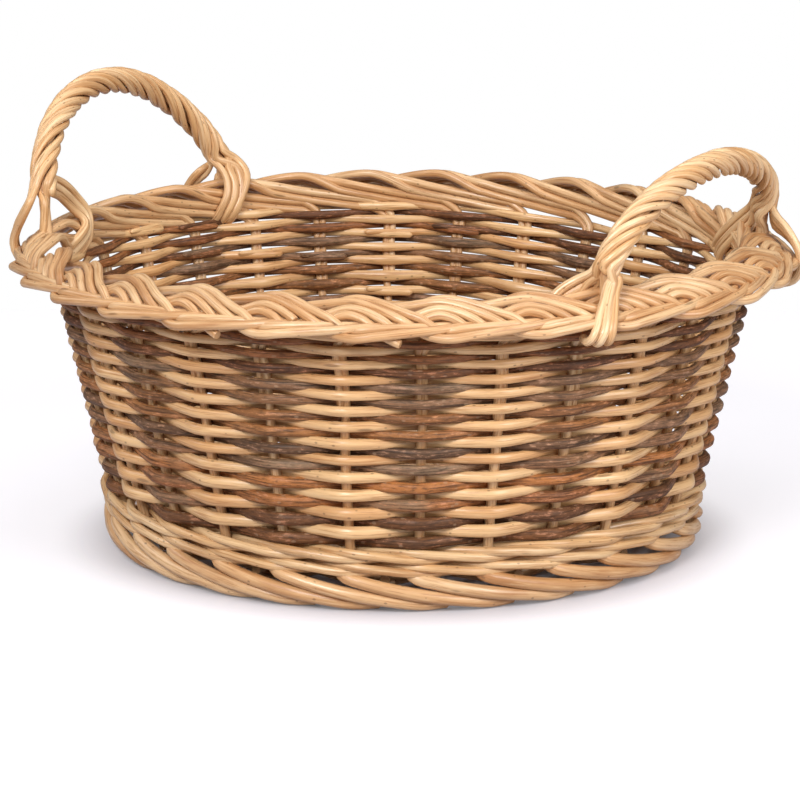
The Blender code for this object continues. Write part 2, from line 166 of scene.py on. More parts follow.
@dataclass
class RodMaker:
    """Draws rods with their own tone, hue and stretch of grain, always in the same order."""

    seed: int
    longest_grain: float = 40.0

    def __post_init__(self) -> None:
        """Start the row of numbers."""
        self.numbers = np.random.default_rng(self.seed)

    def spread(self, low: float, high: float) -> float:
        """Return the next number between two limits."""
        return float(self.numbers.uniform(low, high))

    def rod(self, points: Array, radii: Array | float, **options: object) -> Rod:
        """Return a rod with the next tone, hue and grain.

        Args:
            points: The line that it follows.
            radii: Its radius, or one for each point.
            **options: Its ends, number of sides and oval, where they aren't the usual ones.

        Returns:
            The rod.
        """
        radii = np.broadcast_to(np.asarray(radii, float), (len(points),)).copy()
        tone, hue = self.spread(0.0, 1.0), self.spread(0.0, 1.0)
        return Rod(points, radii, tone, hue, self.spread(0.0, self.longest_grain), **options)


class RodMesh:
    """Turns rods into one mesh object, with the grain and the rod's look as attributes."""

    GRAIN_RADIUS = 2.0 * MM
    NEARLY_UPRIGHT = 0.9

    def __init__(self, name: str) -> None:
        """Start an empty mesh.

        Args:
            name: The name of the mesh and its object.
        """
        self.name = name
        self.places: list[Array] = []
        self.grain: list[Array] = []
        self.faces: list[Array] = []
        self.looks: list[Array] = []
        self.count = 0

    def add(self, rod: Rod) -> None:
        """Sweep one rod's round section along its line and close both ends.

        Args:
            rod: The rod.
        """
        points, radii = self.with_ends(rod)
        normals, across = self.frames(points)
        angle = np.linspace(0.0, 2.0 * math.pi, rod.sides, endpoint=False)
        round_x, round_y = np.cos(angle), np.sin(angle)
        ring = (
            normals[:, None, :] * round_x[None, :, None] * (1.0 + rod.oval)
            + across[:, None, :] * round_y[None, :, None] * (1.0 - rod.oval)
        )
        places = points[:, None, :] + ring * radii[:, None, None]
        along = run_lengths(points) + rod.grain_start
        grain = np.empty((len(points), rod.sides, 3))
        grain[..., 0] = round_x * self.GRAIN_RADIUS
        grain[..., 1] = round_y * self.GRAIN_RADIUS
        grain[..., 2] = along[:, None]
        pole_grain = np.array([[0.0, 0.0, along[0]], [0.0, 0.0, along[-1]]])
        self.places += [places.reshape(-1, 3), points[[0, -1]]]
        self.grain += [grain.reshape(-1, 3), pole_grain]
        self.add_faces(len(points), rod)
        self.count += len(points) * rod.sides + 2

    @staticmethod
    def with_ends(rod: Rod) -> tuple[Array, Array]:
        """Add a short run to each end of a rod, which rounds it off.

        Args:
            rod: The rod.

        Returns:
            The points of the longer line, and its radii.
        """
        places, radii = [], []
        for last, inner, kind in ((0, 1, rod.start), (-1, -2, rod.end)):
            width, reach = kind.value
            outward = rod.points[last] - rod.points[inner]
            outward = outward / max(np.linalg.norm(outward), SHORTEST_RUN)
            places.append(rod.points[last] + outward * rod.radii[last] * reach)
            radii.append(rod.radii[last] * width)
        points = np.vstack([places[0], rod.points, places[1]])
        return points, np.concatenate([radii[:1], rod.radii, radii[1:]])

    @classmethod
    def frames(cls, points: Array) -> tuple[Array, Array]:
        """Give each point of a line a normal and a side, turned as little as can be.

        Args:
            points: The points of the line.

        Returns:
            The normals, and the sides at right angles to them and to the line.
        """
        tangents = np.gradient(points, axis=0)
        tangents /= np.maximum(np.linalg.norm(tangents, axis=1), SHORTEST_RUN)[:, None]
        normals = np.empty_like(points)
        lead = np.array([0.0, 0.0, 1.0])
        if abs(tangents[0] @ lead) > cls.NEARLY_UPRIGHT:
            lead = np.array([1.0, 0.0, 0.0])
        for index, tangent in enumerate(tangents):
            lead = lead - tangent * (lead @ tangent)
            lead = lead / math.sqrt(lead @ lead)
            normals[index] = lead
        return normals, np.cross(tangents, normals)

    def add_faces(self, rings: int, rod: Rod) -> None:
        """Add the faces of one rod's tube and end caps, with the look of each face.

        Args:
            rings: How many rings of points the tube has.
            rod: The rod.
        """
        sides = rod.sides
        step = np.arange(sides)
        onward = (step + 1) % sides
        ring = np.arange(rings - 1)[:, None] * sides + self.count
        next_ring = ring + sides
        quads = np.stack([ring + step, ring + onward, next_ring + onward, next_ring + step], axis=-1)
        quads = quads.reshape(-1, 4)
        pole = self.count + rings * sides
        high = pole - sides
        none = np.full(sides, -1)
        first = np.stack([none + 1 + pole, self.count + onward, self.count + step, none], axis=-1)
        last = np.stack([none + 2 + pole, high + step, high + onward, none], axis=-1)
        look = np.zeros((len(quads) + 2 * sides, 4), np.float32)
        look[:, 0] = rod.tone
        look[:, 1] = rod.hue
        look[len(quads) :, 2] = 1.0
        self.faces.append(np.vstack([quads, first, last]))
        self.looks.append(look)

    def finish(self, material: bpy.types.Material) -> bpy.types.Object:
        """Make the object, smooth it and give it its finish.

        Args:
            material: The finish of every face.

        Returns:
            The new object, linked to the scene.
        """
        places = np.vstack(self.places).astype(np.float32)
        faces = np.vstack(self.faces)
        looks = np.vstack(self.looks)
        sizes = np.where(faces[:, 3] < 0, 3, 4).astype(np.int32)
        corners = faces[faces >= 0].astype(np.int32)
        mesh = bpy.data.meshes.new(self.name)
        mesh.vertices.add(len(places))
        mesh.vertices.foreach_set("co", places.ravel())
        mesh.loops.add(len(corners))
        mesh.loops.foreach_set("vertex_index", corners)
        mesh.polygons.add(len(sizes))
        starts = np.concatenate([[0], np.cumsum(sizes)[:-1]]).astype(np.int32)
        mesh.polygons.foreach_set("loop_start", starts)
        mesh.update(calc_edges=True)
        mesh.polygons.foreach_set("use_smooth", sizes == 4)
        grain = mesh.attributes.new("grain", "FLOAT_VECTOR", "POINT")
        grain.data.foreach_set("vector", np.vstack(self.grain).astype(np.float32).ravel())
        look = mesh.attributes.new("look", "FLOAT_COLOR", "CORNER")
        look.data.foreach_set("color", np.repeat(looks, sizes, axis=0).ravel())
        mesh.validate()
        piece = bpy.data.objects.new(self.name, mesh)
        bpy.context.scene.collection.objects.link(piece)
        piece.data.materials.append(material)
        return piece


@dataclass(frozen=True)
class Form:
    """The basket's main sizes, the same as in the part's source."""

    rim_radius: float = 0.1603
    rim_height: float = 0.1284
    rim_tilt: float = math.radians(31.0)
    foot_radius: float = 0.1252
    foot_height: float = 0.0158
    rim_overhang: float = 0.0080
    stake_radius: float = 2.15 * MM
    rows_bottom: float = 0.0284
    rows_top: float = 0.1167
    row_count: int = 24
    row_taper: float = 0.18
    seam: int = 9
    step_stakes: int = 4

    def wall_radius(self, height: Array | float) -> Array:
        """Work out the radius of the circle that the stakes stand in.

        Args:
            height: Heights above the floor.

        Returns:
            The circle's radius at each height.
        """
        rise = self.rim_height - self.foot_height
        flare = (self.rim_radius - self.rim_overhang - self.foot_radius) / rise
        return self.foot_radius + (np.asarray(height) - self.foot_height) * flare

    def rim_section(self, lateral: Array, lift: Array) -> tuple[Array, Array]:
        """Carry places from the rim's tilted section to the basket.

        Args:
            lateral: How far out they lie along the border's slope.
            lift: How far they stand off it.

        Returns:
            Their distances from the axis, and their heights.
        """
        cos, sin = math.cos(self.rim_tilt), math.sin(self.rim_tilt)
        radius = self.rim_radius + lateral * cos + lift * sin
        return radius, self.rim_height - lateral * sin + lift * cos

    def row_place(self, row: Array) -> tuple[Array, Array]:
        """Find where rows of the weave lie, which get closer towards the rim.

        Args:
            row: The rows, counted from 0 at the bottom.

        Returns:
            The heights of their middles, and the pitches there.
        """
        share = (np.asarray(row) + 0.5) / self.row_count
        full = self.rows_top - self.rows_bottom
        height = self.rows_bottom + full * share * (1.0 + self.row_taper * (1.0 - share))
        pitch = full / self.row_count * (1.0 + self.row_taper * (1.0 - 2.0 * share))
        return height, pitch

    def climbed(self, turn: Array | float) -> Array:
        """Count the rounds that a rod has climbed, which it does just before the seam.

        Args:
            turn: The turns that it has come to.

        Returns:
            The rounds climbed there, parts of a round among them.
        """
        beyond = np.maximum(np.asarray(turn, float) - self.seam, 0.0)
        rounds = np.floor(beyond / STAKE_COUNT)
        rest = beyond - rounds * STAKE_COUNT
        return rounds + eased(rest, STAKE_COUNT - self.step_stakes, self.step_stakes)


class NodeSheet:
    """A small helper that places shader nodes and joins them."""

    def __init__(self, tree: bpy.types.NodeTree) -> None:
        """Keep the tree that the nodes go into."""
        self.tree = tree

    def node(
        self, kind: str, inputs: dict[str | int, object] | None = None, **settings: object
    ) -> bpy.types.Node:
        """Add a node.

        Args:
            kind: Its type.
            inputs: What its sockets get, by name or number.
            **settings: Its own settings, such as its operation.

        Returns:
            The new node.
        """
        node = self.tree.nodes.new(kind)
        for key, value in settings.items():
            setattr(node, key, value)
        self.feed(node, inputs or {})
        return node

    def feed(self, node: bpy.types.Node, inputs: dict[str | int, object]) -> None:
        """Give a node's sockets plain values, or outputs to follow.

        Args:
            node: The node.
            inputs: A value or an output for each socket, by name or number.
        """
        for key, value in inputs.items():
            if isinstance(value, Socket):
                self.tree.links.new(value, node.inputs[key])
            else:
                node.inputs[key].default_value = value

    def math(self, operation: str, *values: object) -> Socket:
        """Return the result of a Math node on these values."""
        return self.node("ShaderNodeMath", dict(enumerate(values)), operation=operation).outputs[0]

    def between(
        self, value: Socket, low: float, high: float, to_low: float = 0.0, to_high: float = 1.0
    ) -> Socket:
        """Return a value carried smoothly from one range to another and held there."""
        inputs = dict(enumerate((value, low, high, to_low, to_high)))
        return self.node("ShaderNodeMapRange", inputs, interpolation_type="SMOOTHSTEP").outputs[0]

    def weighted(self, *parts: tuple[Socket, float]) -> Socket:
        """Add values up, each times its own weight.

        Args:
            *parts: A value and its weight, for each.

        Returns:
            The sum.
        """
        total = self.math("MULTIPLY", *parts[0])
        for part in parts[1:]:
            total = self.math("ADD", total, self.math("MULTIPLY", *part))
        return total

    def layered(self, colour: Socket | Colour, *layers: tuple[Socket, Colour]) -> Socket:
        """Lay colours over one another.

        Args:
            colour: The lowest colour.
            *layers: How much of it each next colour covers, and that colour.

        Returns:
            The colour that shows.
        """
        for share, over in layers:
            below = (*colour, 1.0) if isinstance(colour, tuple) else colour
            inputs = {0: share, 6: below, 7: (*over, 1.0)}
            colour = self.node("ShaderNodeMix", inputs, data_type="RGBA").outputs[2]
        return colour

    def noise(self, vector: Socket, detail: float, rough: float = 0.5) -> Socket:
        """Return plain noise, about 0.5 on average, at scale 1 of this vector."""
        inputs = {"Vector": vector, "Scale": 1.0, "Detail": detail, "Roughness": rough}
        return self.node("ShaderNodeTexNoise", inputs).outputs["Fac"]

    def stretched(self, vector: Socket, across: object, along: object) -> Socket:
        """Return the grain vector scaled across the rod and along it."""
        scale = self.node("ShaderNodeCombineXYZ", {0: across, 1: across, 2: along}).outputs[0]
        return self.node("ShaderNodeVectorMath", {0: vector, 1: scale}, operation="MULTIPLY").outputs[0]


class WillowEffects:
    """The node groups that every willow finish shares."""

    GRAIN_SCALES = ((1500.0, 55.0, 4.0), (520.0, 22.0, 3.0), (110.0, 16.0, 2.0))
    GRAIN_ROUGHNESS = 0.6
    SPECK_SCALES = (420.0, 230.0)
    SPECK_EDGE = 0.09
    SPECKLESS_SHARE = 0.62
    SCAR_SCALES = (150.0, 26.0)
    SCAR_EDGE = (0.12, 0.06)

    def __init__(self) -> None:
        """Build both groups once."""
        self.grain = self.build_grain()
        self.marks = self.build_marks()

    @staticmethod
    def start(
        name: str, setting: str, value: float, results: tuple[str, ...]
    ) -> tuple[NodeSheet, bpy.types.Node, bpy.types.Node]:
        """Start a group that reads the grain's vector and one setting.

        Args:
            name: The group's name.
            setting: The name of its setting.
            value: What the setting is if nothing is given.
            results: The names of its outputs.

        Returns:
            The group's sheet, its input node and its output node.
        """
        tree = bpy.data.node_groups.new(name, "ShaderNodeTree")
        tree.interface.new_socket("Vector", in_out="INPUT", socket_type="NodeSocketVector")
        socket = tree.interface.new_socket(setting, in_out="INPUT", socket_type="NodeSocketFloat")
        socket.default_value = value
        for label in results:
            tree.interface.new_socket(label, in_out="OUTPUT", socket_type="NodeSocketFloat")
        sheet = NodeSheet(tree)
        return sheet, sheet.node("NodeGroupInput"), sheet.node("NodeGroupOutput")

    def build_grain(self) -> bpy.types.NodeTree:
        """Build the group that gives fine streaks, broad streaks and slow changes along a rod.

        Returns:
            The group.
        """
        sheet, given, out = self.start("willow_grain", "Fineness", 1.0, ("Fine", "Broad", "Slow"))
        vector, fineness = given.outputs[0], given.outputs[1]
        for index, (across, along, detail) in enumerate(self.GRAIN_SCALES):
            scales = [sheet.math("MULTIPLY", fineness, scale) for scale in (across, along)]
            streaks = sheet.noise(sheet.stretched(vector, *scales), detail, self.GRAIN_ROUGHNESS)
            sheet.feed(out, {index: streaks})
        return sheet.tree

    def build_marks(self) -> bpy.types.NodeTree:
        """Build the group that gives small specks and rarer bud scars.

        Returns:
            The group.
        """
        sheet, given, out = self.start("willow_marks", "Speck Size", 0.2, ("Specks", "Scars"))
        vector, speck_size = given.outputs[0], given.outputs[1]
        cells, buds = (
            sheet.node("ShaderNodeTexVoronoi", {"Vector": sheet.stretched(vector, *scales), "Scale": 1.0})
            for scales in (self.SPECK_SCALES, self.SCAR_SCALES)
        )
        near = sheet.math("SUBTRACT", speck_size, cells.outputs["Distance"])
        rare = sheet.node("ShaderNodeSeparateColor", {0: cells.outputs["Color"]})
        chosen = sheet.math("GREATER_THAN", rare.outputs[0], self.SPECKLESS_SHARE)
        specks = sheet.math("MULTIPLY", sheet.between(near, 0.0, self.SPECK_EDGE), chosen)
        scars = sheet.between(buds.outputs["Distance"], *self.SCAR_EDGE)
        sheet.feed(out, {"Specks": specks, "Scars": scars})
        return sheet.tree


@dataclass(frozen=True)
class RodLook:
    """What a finish is mixed from: a rod's place and own look, its grain and its marks."""

    sheet: NodeSheet
    place: Socket
    tone: Socket
    hue: Socket
    end: Socket
    fine: Socket
    broad: Socket
    slow: Socket
    specks: Socket
    scars: Socket


@dataclass(frozen=True)
class Willow:
    """What all willow finishes have: three colours, gloss, relief and the size of their marks."""

    name: str
    deep: Colour
    main: Colour
    light: Colour
    roughness: float = 0.36
    coat: float = 0.30
    smoother: float = 0.06
    rougher: float = 0.14
    coat_roughness: float = 0.22
    specular: float = 0.50
    bump_strength: float = 0.50
    bump_depth: float = 0.35 * MM
    fineness: float = 1.0
    speck_size: float = 0.20

    def mixed(self, rod: RodLook) -> tuple[Socket, Socket]:
        """Return the colour and the height of the surface; each kind of finish has its own."""
        raise NotImplementedError

    def build(self, effects: WillowEffects) -> bpy.types.Material:
        """Make the material.

        Args:
            effects: The groups that it shares with the others.

        Returns:
            The material.
        """
        material = bpy.data.materials.new(self.name)
        material.use_nodes = True
        material.diffuse_color = (*self.main, 1.0)
        sheet = NodeSheet(material.node_tree)
        place = sheet.node("ShaderNodeAttribute", attribute_name="grain").outputs["Vector"]
        look = sheet.node("ShaderNodeAttribute", attribute_name="look").outputs["Color"]
        parts = sheet.node("ShaderNodeSeparateColor", {0: look})
        inputs = {"Vector": place, "Fineness": self.fineness}
        grain = sheet.node("ShaderNodeGroup", inputs, node_tree=effects.grain)
        inputs = {"Vector": place, "Speck Size": self.speck_size}
        marks = sheet.node("ShaderNodeGroup", inputs, node_tree=effects.marks)
        rod = RodLook(sheet, place, *parts.outputs, *grain.outputs, *marks.outputs)
        colour, height = self.mixed(rod)
        gloss = (self.roughness - self.smoother, self.roughness + self.rougher)
        relief = {"Strength": self.bump_strength, "Distance": self.bump_depth, "Height": height}
        shader = {
            "Base Color": colour,
            "Roughness": sheet.between(rod.fine, 0.3, 0.7, *gloss),
            "Specular IOR Level": self.specular,
            "Coat Weight": self.coat,
            "Coat Roughness": self.coat_roughness,
            "Normal": sheet.node("ShaderNodeBump", relief).outputs[0],
        }
        sheet.feed(material.node_tree.nodes["Principled BSDF"], shader)
        return material


@dataclass(frozen=True)
class PeeledWillow(Willow):
    """Peeled rods under clear varnish: buff, streaked along, with specks and bud scars."""

    cut_shade: float = 0.80
    mark_shade: float = 0.32

    def mixed(self, rod: RodLook) -> tuple[Socket, Socket]:
        """Mix the buff colour and the relief of the streaks.

        Args:
            rod: What the finish is mixed from.

        Returns:
            The colour, and the height for the bump.
        """
        sheet = rod.sheet
        dark = tuple(self.mark_shade * part for part in self.deep)
        cut = tuple(self.cut_shade * part for part in self.main)
        reddened = sheet.between(rod.hue, 0.0, 1.0, 0.15, 0.8)
        colour = sheet.layered(
            self.main,
            (sheet.between(rod.tone, 0.0, 1.0, 0.08, 0.95), self.light),
            (sheet.math("MULTIPLY", sheet.between(rod.slow, 0.45, 0.72), reddened), self.deep),
            (sheet.between(rod.broad, 0.50, 0.68, 0.0, 0.58), self.deep),
            (sheet.between(rod.fine, 0.50, 0.66, 0.0, 0.68), self.deep),
            (sheet.between(rod.fine, 0.47, 0.34, 0.0, 0.55), self.light),
            (sheet.math("MULTIPLY", rod.specks, 0.55), dark),
            (sheet.math("MULTIPLY", rod.scars, 0.55), dark),
            (rod.end, cut),
        )
        return colour, sheet.weighted((rod.fine, 0.5), (rod.broad, 0.8), (rod.scars, -0.5))


@dataclass(frozen=True)
class BarkWillow(Willow):
    """Rods with the bark on: dark, changing along the rod, wrinkled and freckled."""

    roughness: float = 0.50
    coat: float = 0.08
    smoother: float = 0.10
    rougher: float = 0.18
    coat_roughness: float = 0.25
    specular: float = 0.30
    bump_strength: float = 0.65
    bump_depth: float = 0.45 * MM
    fineness: float = 1.15
    speck_size: float = 0.26
    grey: Colour = (0.27, 0.168, 0.094)
    freckle: Colour = (0.40, 0.27, 0.17)
    wood: Colour = (0.50, 0.32, 0.17)

    def mixed(self, rod: RodLook) -> tuple[Socket, Socket]:
        """Mix the bark's colour and the relief of its wrinkles.

        Args:
            rod: What the finish is mixed from.

        Returns:
            The colour, and the height for the bump.
        """
        sheet = rod.sheet
        drift = sheet.noise(sheet.stretched(rod.place, 20.0, 9.0), 2.0)
        mottle = sheet.noise(sheet.stretched(rod.place, 950.0, 240.0), 5.0, 0.68)
        warmer = sheet.between(drift, 0.35, 0.65, -0.3, 0.5)
        greyer = sheet.between(rod.tone, 0.35, 1.0, 0.1, 0.85)
        worn = tuple(1.9 * part + 0.05 for part in self.main)
        colour = sheet.layered(
            self.main,
            (sheet.math("ADD", sheet.math("MULTIPLY", rod.hue, 0.9), warmer), self.light),
            (sheet.math("MULTIPLY", sheet.between(rod.slow, 0.48, 0.66), greyer), self.grey),
            (sheet.between(rod.tone, 0.5, 0.0, 0.0, 0.5), self.deep),
            (sheet.between(mottle, 0.46, 0.36, 0.0, 0.75), worn),
            (sheet.between(rod.broad, 0.50, 0.66, 0.0, 0.70), self.deep),
            (sheet.between(rod.fine, 0.50, 0.64, 0.0, 0.70), self.deep),
            (sheet.between(mottle, 0.52, 0.66, 0.0, 0.60), self.deep),
            (sheet.math("MULTIPLY", rod.specks, 0.35), self.freckle),
            (sheet.math("MULTIPLY", rod.scars, 0.4), self.deep),
            (rod.end, self.wood),
        )
        return colour, sheet.weighted((rod.fine, 0.9), (rod.broad, 1.2), (mottle, 0.8))


PEELED = (
    PeeledWillow("buff_willow", (0.38, 0.155, 0.046), (0.60, 0.325, 0.140), (0.75, 0.50, 0.270)),
    PeeledWillow("light_willow", (0.38, 0.158, 0.048), (0.62, 0.325, 0.130), (0.78, 0.51, 0.255)),
    PeeledWillow("wale_willow", (0.40, 0.178, 0.056), (0.62, 0.350, 0.148), (0.75, 0.515, 0.28)),
    PeeledWillow("base_willow", (0.28, 0.125, 0.045), (0.40, 0.225, 0.100), (0.50, 0.32, 0.16), 0.5, 0.1),
    PeeledWillow("handle_bow_willow", (0.38, 0.155, 0.048), (0.62, 0.335, 0.142), (0.76, 0.50, 0.27)),
    PeeledWillow("handle_wrap_willow", (0.44, 0.195, 0.064), (0.71, 0.415, 0.185), (0.85, 0.60, 0.345)),
)
BARK = (
    BarkWillow("umber_willow", (0.032, 0.012, 0.004), (0.215, 0.082, 0.030), (0.35, 0.132, 0.040)),
    BarkWillow("russet_willow", (0.038, 0.014, 0.006), (0.27, 0.098, 0.032), (0.43, 0.160, 0.044)),
    BarkWillow("grey_brown_willow", (0.032, 0.016, 0.008), (0.235, 0.114, 0.056), (0.32, 0.140, 0.054)),
    BarkWillow("amber_willow", (0.045, 0.017, 0.006), (0.30, 0.119, 0.040), (0.42, 0.172, 0.050)),
    BarkWillow("slate_willow", (0.028, 0.015, 0.008), (0.21, 0.106, 0.053), (0.30, 0.134, 0.052)),
    BarkWillow("chestnut_willow", (0.032, 0.012, 0.005), (0.24, 0.086, 0.030), (0.37, 0.138, 0.040)),
)


class Workshop:
    """Makes pieces out of rods and hides the CAD nodes that each one stands for."""

    def __init__(self) -> None:
        """Build every finish once."""
        effects = WillowEffects()
        self.finishes = {finish.name: finish.build(effects) for finish in (*PEELED, *BARK)}

    def piece(self, name: str, rods: list[Rod], slot: str, *nodes: str) -> None:
        """Make one piece from rods.

        Args:
            name: The piece's name.
            rods: Its rods.
            slot: The record's material slot, which is also the name of the finish.
            *nodes: The CAD nodes that it stands for.
        """
        mesh = RodMesh(name)
        for rod in rods:
            mesh.add(rod)
        piece = mesh.finish(self.finishes[slot])
        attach(piece, "root")
        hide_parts(*nodes)
        LOG.info("%s: %d rods, %d faces", name, len(rods), len(piece.data.polygons))


@dataclass
class WallWeave:
    """The wall's dark and light weaving, two rods that chase each other round.

    A rod's side is 1 in front of a stake, -1 behind it, and between them on the way. The stagger
    of the pieces' starts and the run of a rod are counted in pairs of stakes.
    """

    form: Form
    make: RodMaker
    rounds_per_piece: int = 2
    extra_rounds: int = 1
    early_stakes: int = 3
    samples_per_turn: int = 8
    longest_run: int = 30
    fullness: float = 1.08
    thickness: tuple[float, float] = (0.95, 1.06)
    taper: float = 0.12
    swell: float = 0.26
    outer_swell: float = 0.05
    swell_power: float = 1.5
    oval: float = 0.10
    press: float = 0.88
    sharpness: float = 0.985
    joint_tail: float = 0.32
    joint_drop: float = 0.85 * MM
    joint_length: float = 0.9
    joint_thinning: tuple[float, float] = (0.40, 0.44)
    stagger: tuple[float, float] = (-6.0, 7.0)
    pair_run: tuple[float, float] = (7.0, 13.0)
    wave_height: float = 0.13 * MM
    wave_lengths: tuple[float, ...] = (2.7, 5.3, 11.0)
    wave_phase: tuple[float, float] = (0.0, 7.0)

    def pieces(self, workshop: Workshop, weave: Weave, slots: list[str]) -> None:
        """Weave one colour and make a piece for each of its CAD rods.

        Args:
            workshop: Where the pieces are made.
            weave: The colour.
            slots: The finish of each piece, from the lowest up.
        """
        shift = 0 if weave is Weave.DARK else 1
        first = self.form.seam + shift
        rounds = self.form.row_count // 2 + self.extra_rounds
        last = self.form.seam + rounds * STAKE_COUNT - self.form.step_stakes
        starts = [first - self.early_stakes]
        for index in range(1, len(slots)):
            stakes = index * self.rounds_per_piece * STAKE_COUNT - 1
            starts.append(first + stakes + 2 * int(self.make.spread(*self.stagger)))
        for index, slot in enumerate(slots):
            joints = self.joints(starts[index], [*starts, last][index + 1])
            rods = [self.weaver(begin, finish, shift) for begin, finish in zip(joints, joints[1:])]
            names = [f"{weave.value}_{kind}_{index + 1}" for kind in ("rods", "weaver")]
            workshop.piece(names[0], rods, slot, names[1])

    def joints(self, start: int, stop: int) -> list[int]:
        """Choose the places, all behind a stake, at which one rod gives way to the next.

        Args:
            start: The first rod's first turn.
            stop: The last rod's last turn.

        Returns:
            The turns, from the start to the stop.
        """
        found = [start]
        while stop - found[-1] > self.longest_run:
            found.append(found[-1] + 2 * int(self.make.spread(*self.pair_run)))
        return [*found, stop]

    def weaver(self, begin: int, finish: int, shift: int) -> Rod:
        """Make one rod that goes in front of every second stake and behind the others.

        Args:
            begin: The turn at which it starts.
            finish: The turn at which it ends.
            shift: 0 for the lower of the two rods that chase each other, 1 for the upper.

        Returns:
            The rod.
        """
        low, high = begin - self.joint_tail, finish + self.joint_tail
        count = int((high - low) * self.samples_per_turn) + 1
        turn = np.linspace(low, high, count)
        wave = np.cos(math.pi * (turn - self.form.seam - shift))
        side = np.arcsin(self.sharpness * wave) / math.asin(self.sharpness)
        side = np.where((turn < begin) | (turn > finish), -1.0, side)
        height, pitch = self.form.row_place(shift + 2.0 * self.form.climbed(turn))
        share = (turn - low) / (high - low)
        thick = self.make.spread(*self.thickness) * (1.0 + self.taper * (0.5 - share))
        swell = np.where(side > 0, self.outer_swell, self.swell)
        radius = pitch / 2 * self.fullness * thick * (1.0 + swell * np.abs(side) ** self.swell_power)
        begins = smooth(1.0 - (turn - low) / self.joint_length)
        ends = smooth(1.0 - (high - turn) / self.joint_length)
        thin_start, thin_end = self.joint_thinning
        radius = radius * (1.0 - thin_start * begins - thin_end * ends)
        wobble = np.zeros(count)
        for length in self.wave_lengths:
            phase = self.make.spread(*self.wave_phase)
            wobble += np.sin(2 * math.pi * turn / length + phase) * self.wave_height
        height = height + wobble + self.joint_drop * (ends - begins)
        behind = self.form.stake_radius + pitch / 2 * (1.0 + self.swell)
        reach = np.where(side < 0, behind, self.form.stake_radius + radius)
        points = on_ring(turn, self.form.wall_radius(height) + self.press * reach * side, height)
        return self.make.rod(points, radius, oval=self.oval, start=RodEnd.TIP, end=RodEnd.TIP)


@dataclass
class Wale:
    """Three rods under the wall, each in front of two stakes and then behind one.

    A stroke's places are turns onward, the share of the reach outwards, the share of the bulge
    outwards, and the rise in half pitches.
    """

    form: Form
    make: RodMaker
    rods: int = 3
    rounds: int = 2
    pitch: float = 3.1 * MM
    radius: float = 1.9 * MM
    bulge: float = 1.2 * MM
    lift: float = 0.9 * MM
    open_stakes: int = 2
    spacing: float = 4.0 * MM
    stroke: tuple[tuple[float, float, float, float], ...] = (
        (0.0, -1.0, 0.0, 0.25),
        (0.45, -0.1, 0.0, 0.9),
        (1.0, 1.0, 0.9, 0.95),
        (1.5, 1.0, 1.3, 0.1),
        (2.0, 1.0, 0.9, -0.85),
        (2.5, 0.0, 0.0, -0.95),
    )

    def pieces(self, workshop: Workshop) -> None:
        """Make one piece for each wale rod.

        Args:
            workshop: Where the pieces are made.
        """
        for index in range(self.rods):
            rod = self.make.rod(flowing(self.knots(index), self.spacing), self.radius)
            workshop.piece(f"wale_rods_{index + 1}", [rod], "wale_willow", f"wale_rod_{index + 1}")

    def knots(self, index: int) -> Array:
        """Find the places that one wale rod passes.

        Args:
            index: The rod's number, from 0.

        Returns:
            The places in order.
        """
        start_height = self.form.foot_height + self.pitch / 2 + self.lift
        last = self.form.seam + self.rounds * STAKE_COUNT - self.open_stakes
        reach = self.form.stake_radius + self.radius
        found = []
        for start in range(self.form.seam + index, last + 1, self.rods):
            for onward, share, bulge, rise in self.stroke:
                turn = start + onward
                if turn > last:
                    break
                rounds = min(float(self.form.climbed(turn)), self.rounds - 1)
                height = start_height + (2 * rounds + rise / 2) * self.pitch
                out = share * reach + bulge * self.bulge
                found.append(on_ring(turn, self.form.wall_radius(height) + out, height))
        return np.array(found)


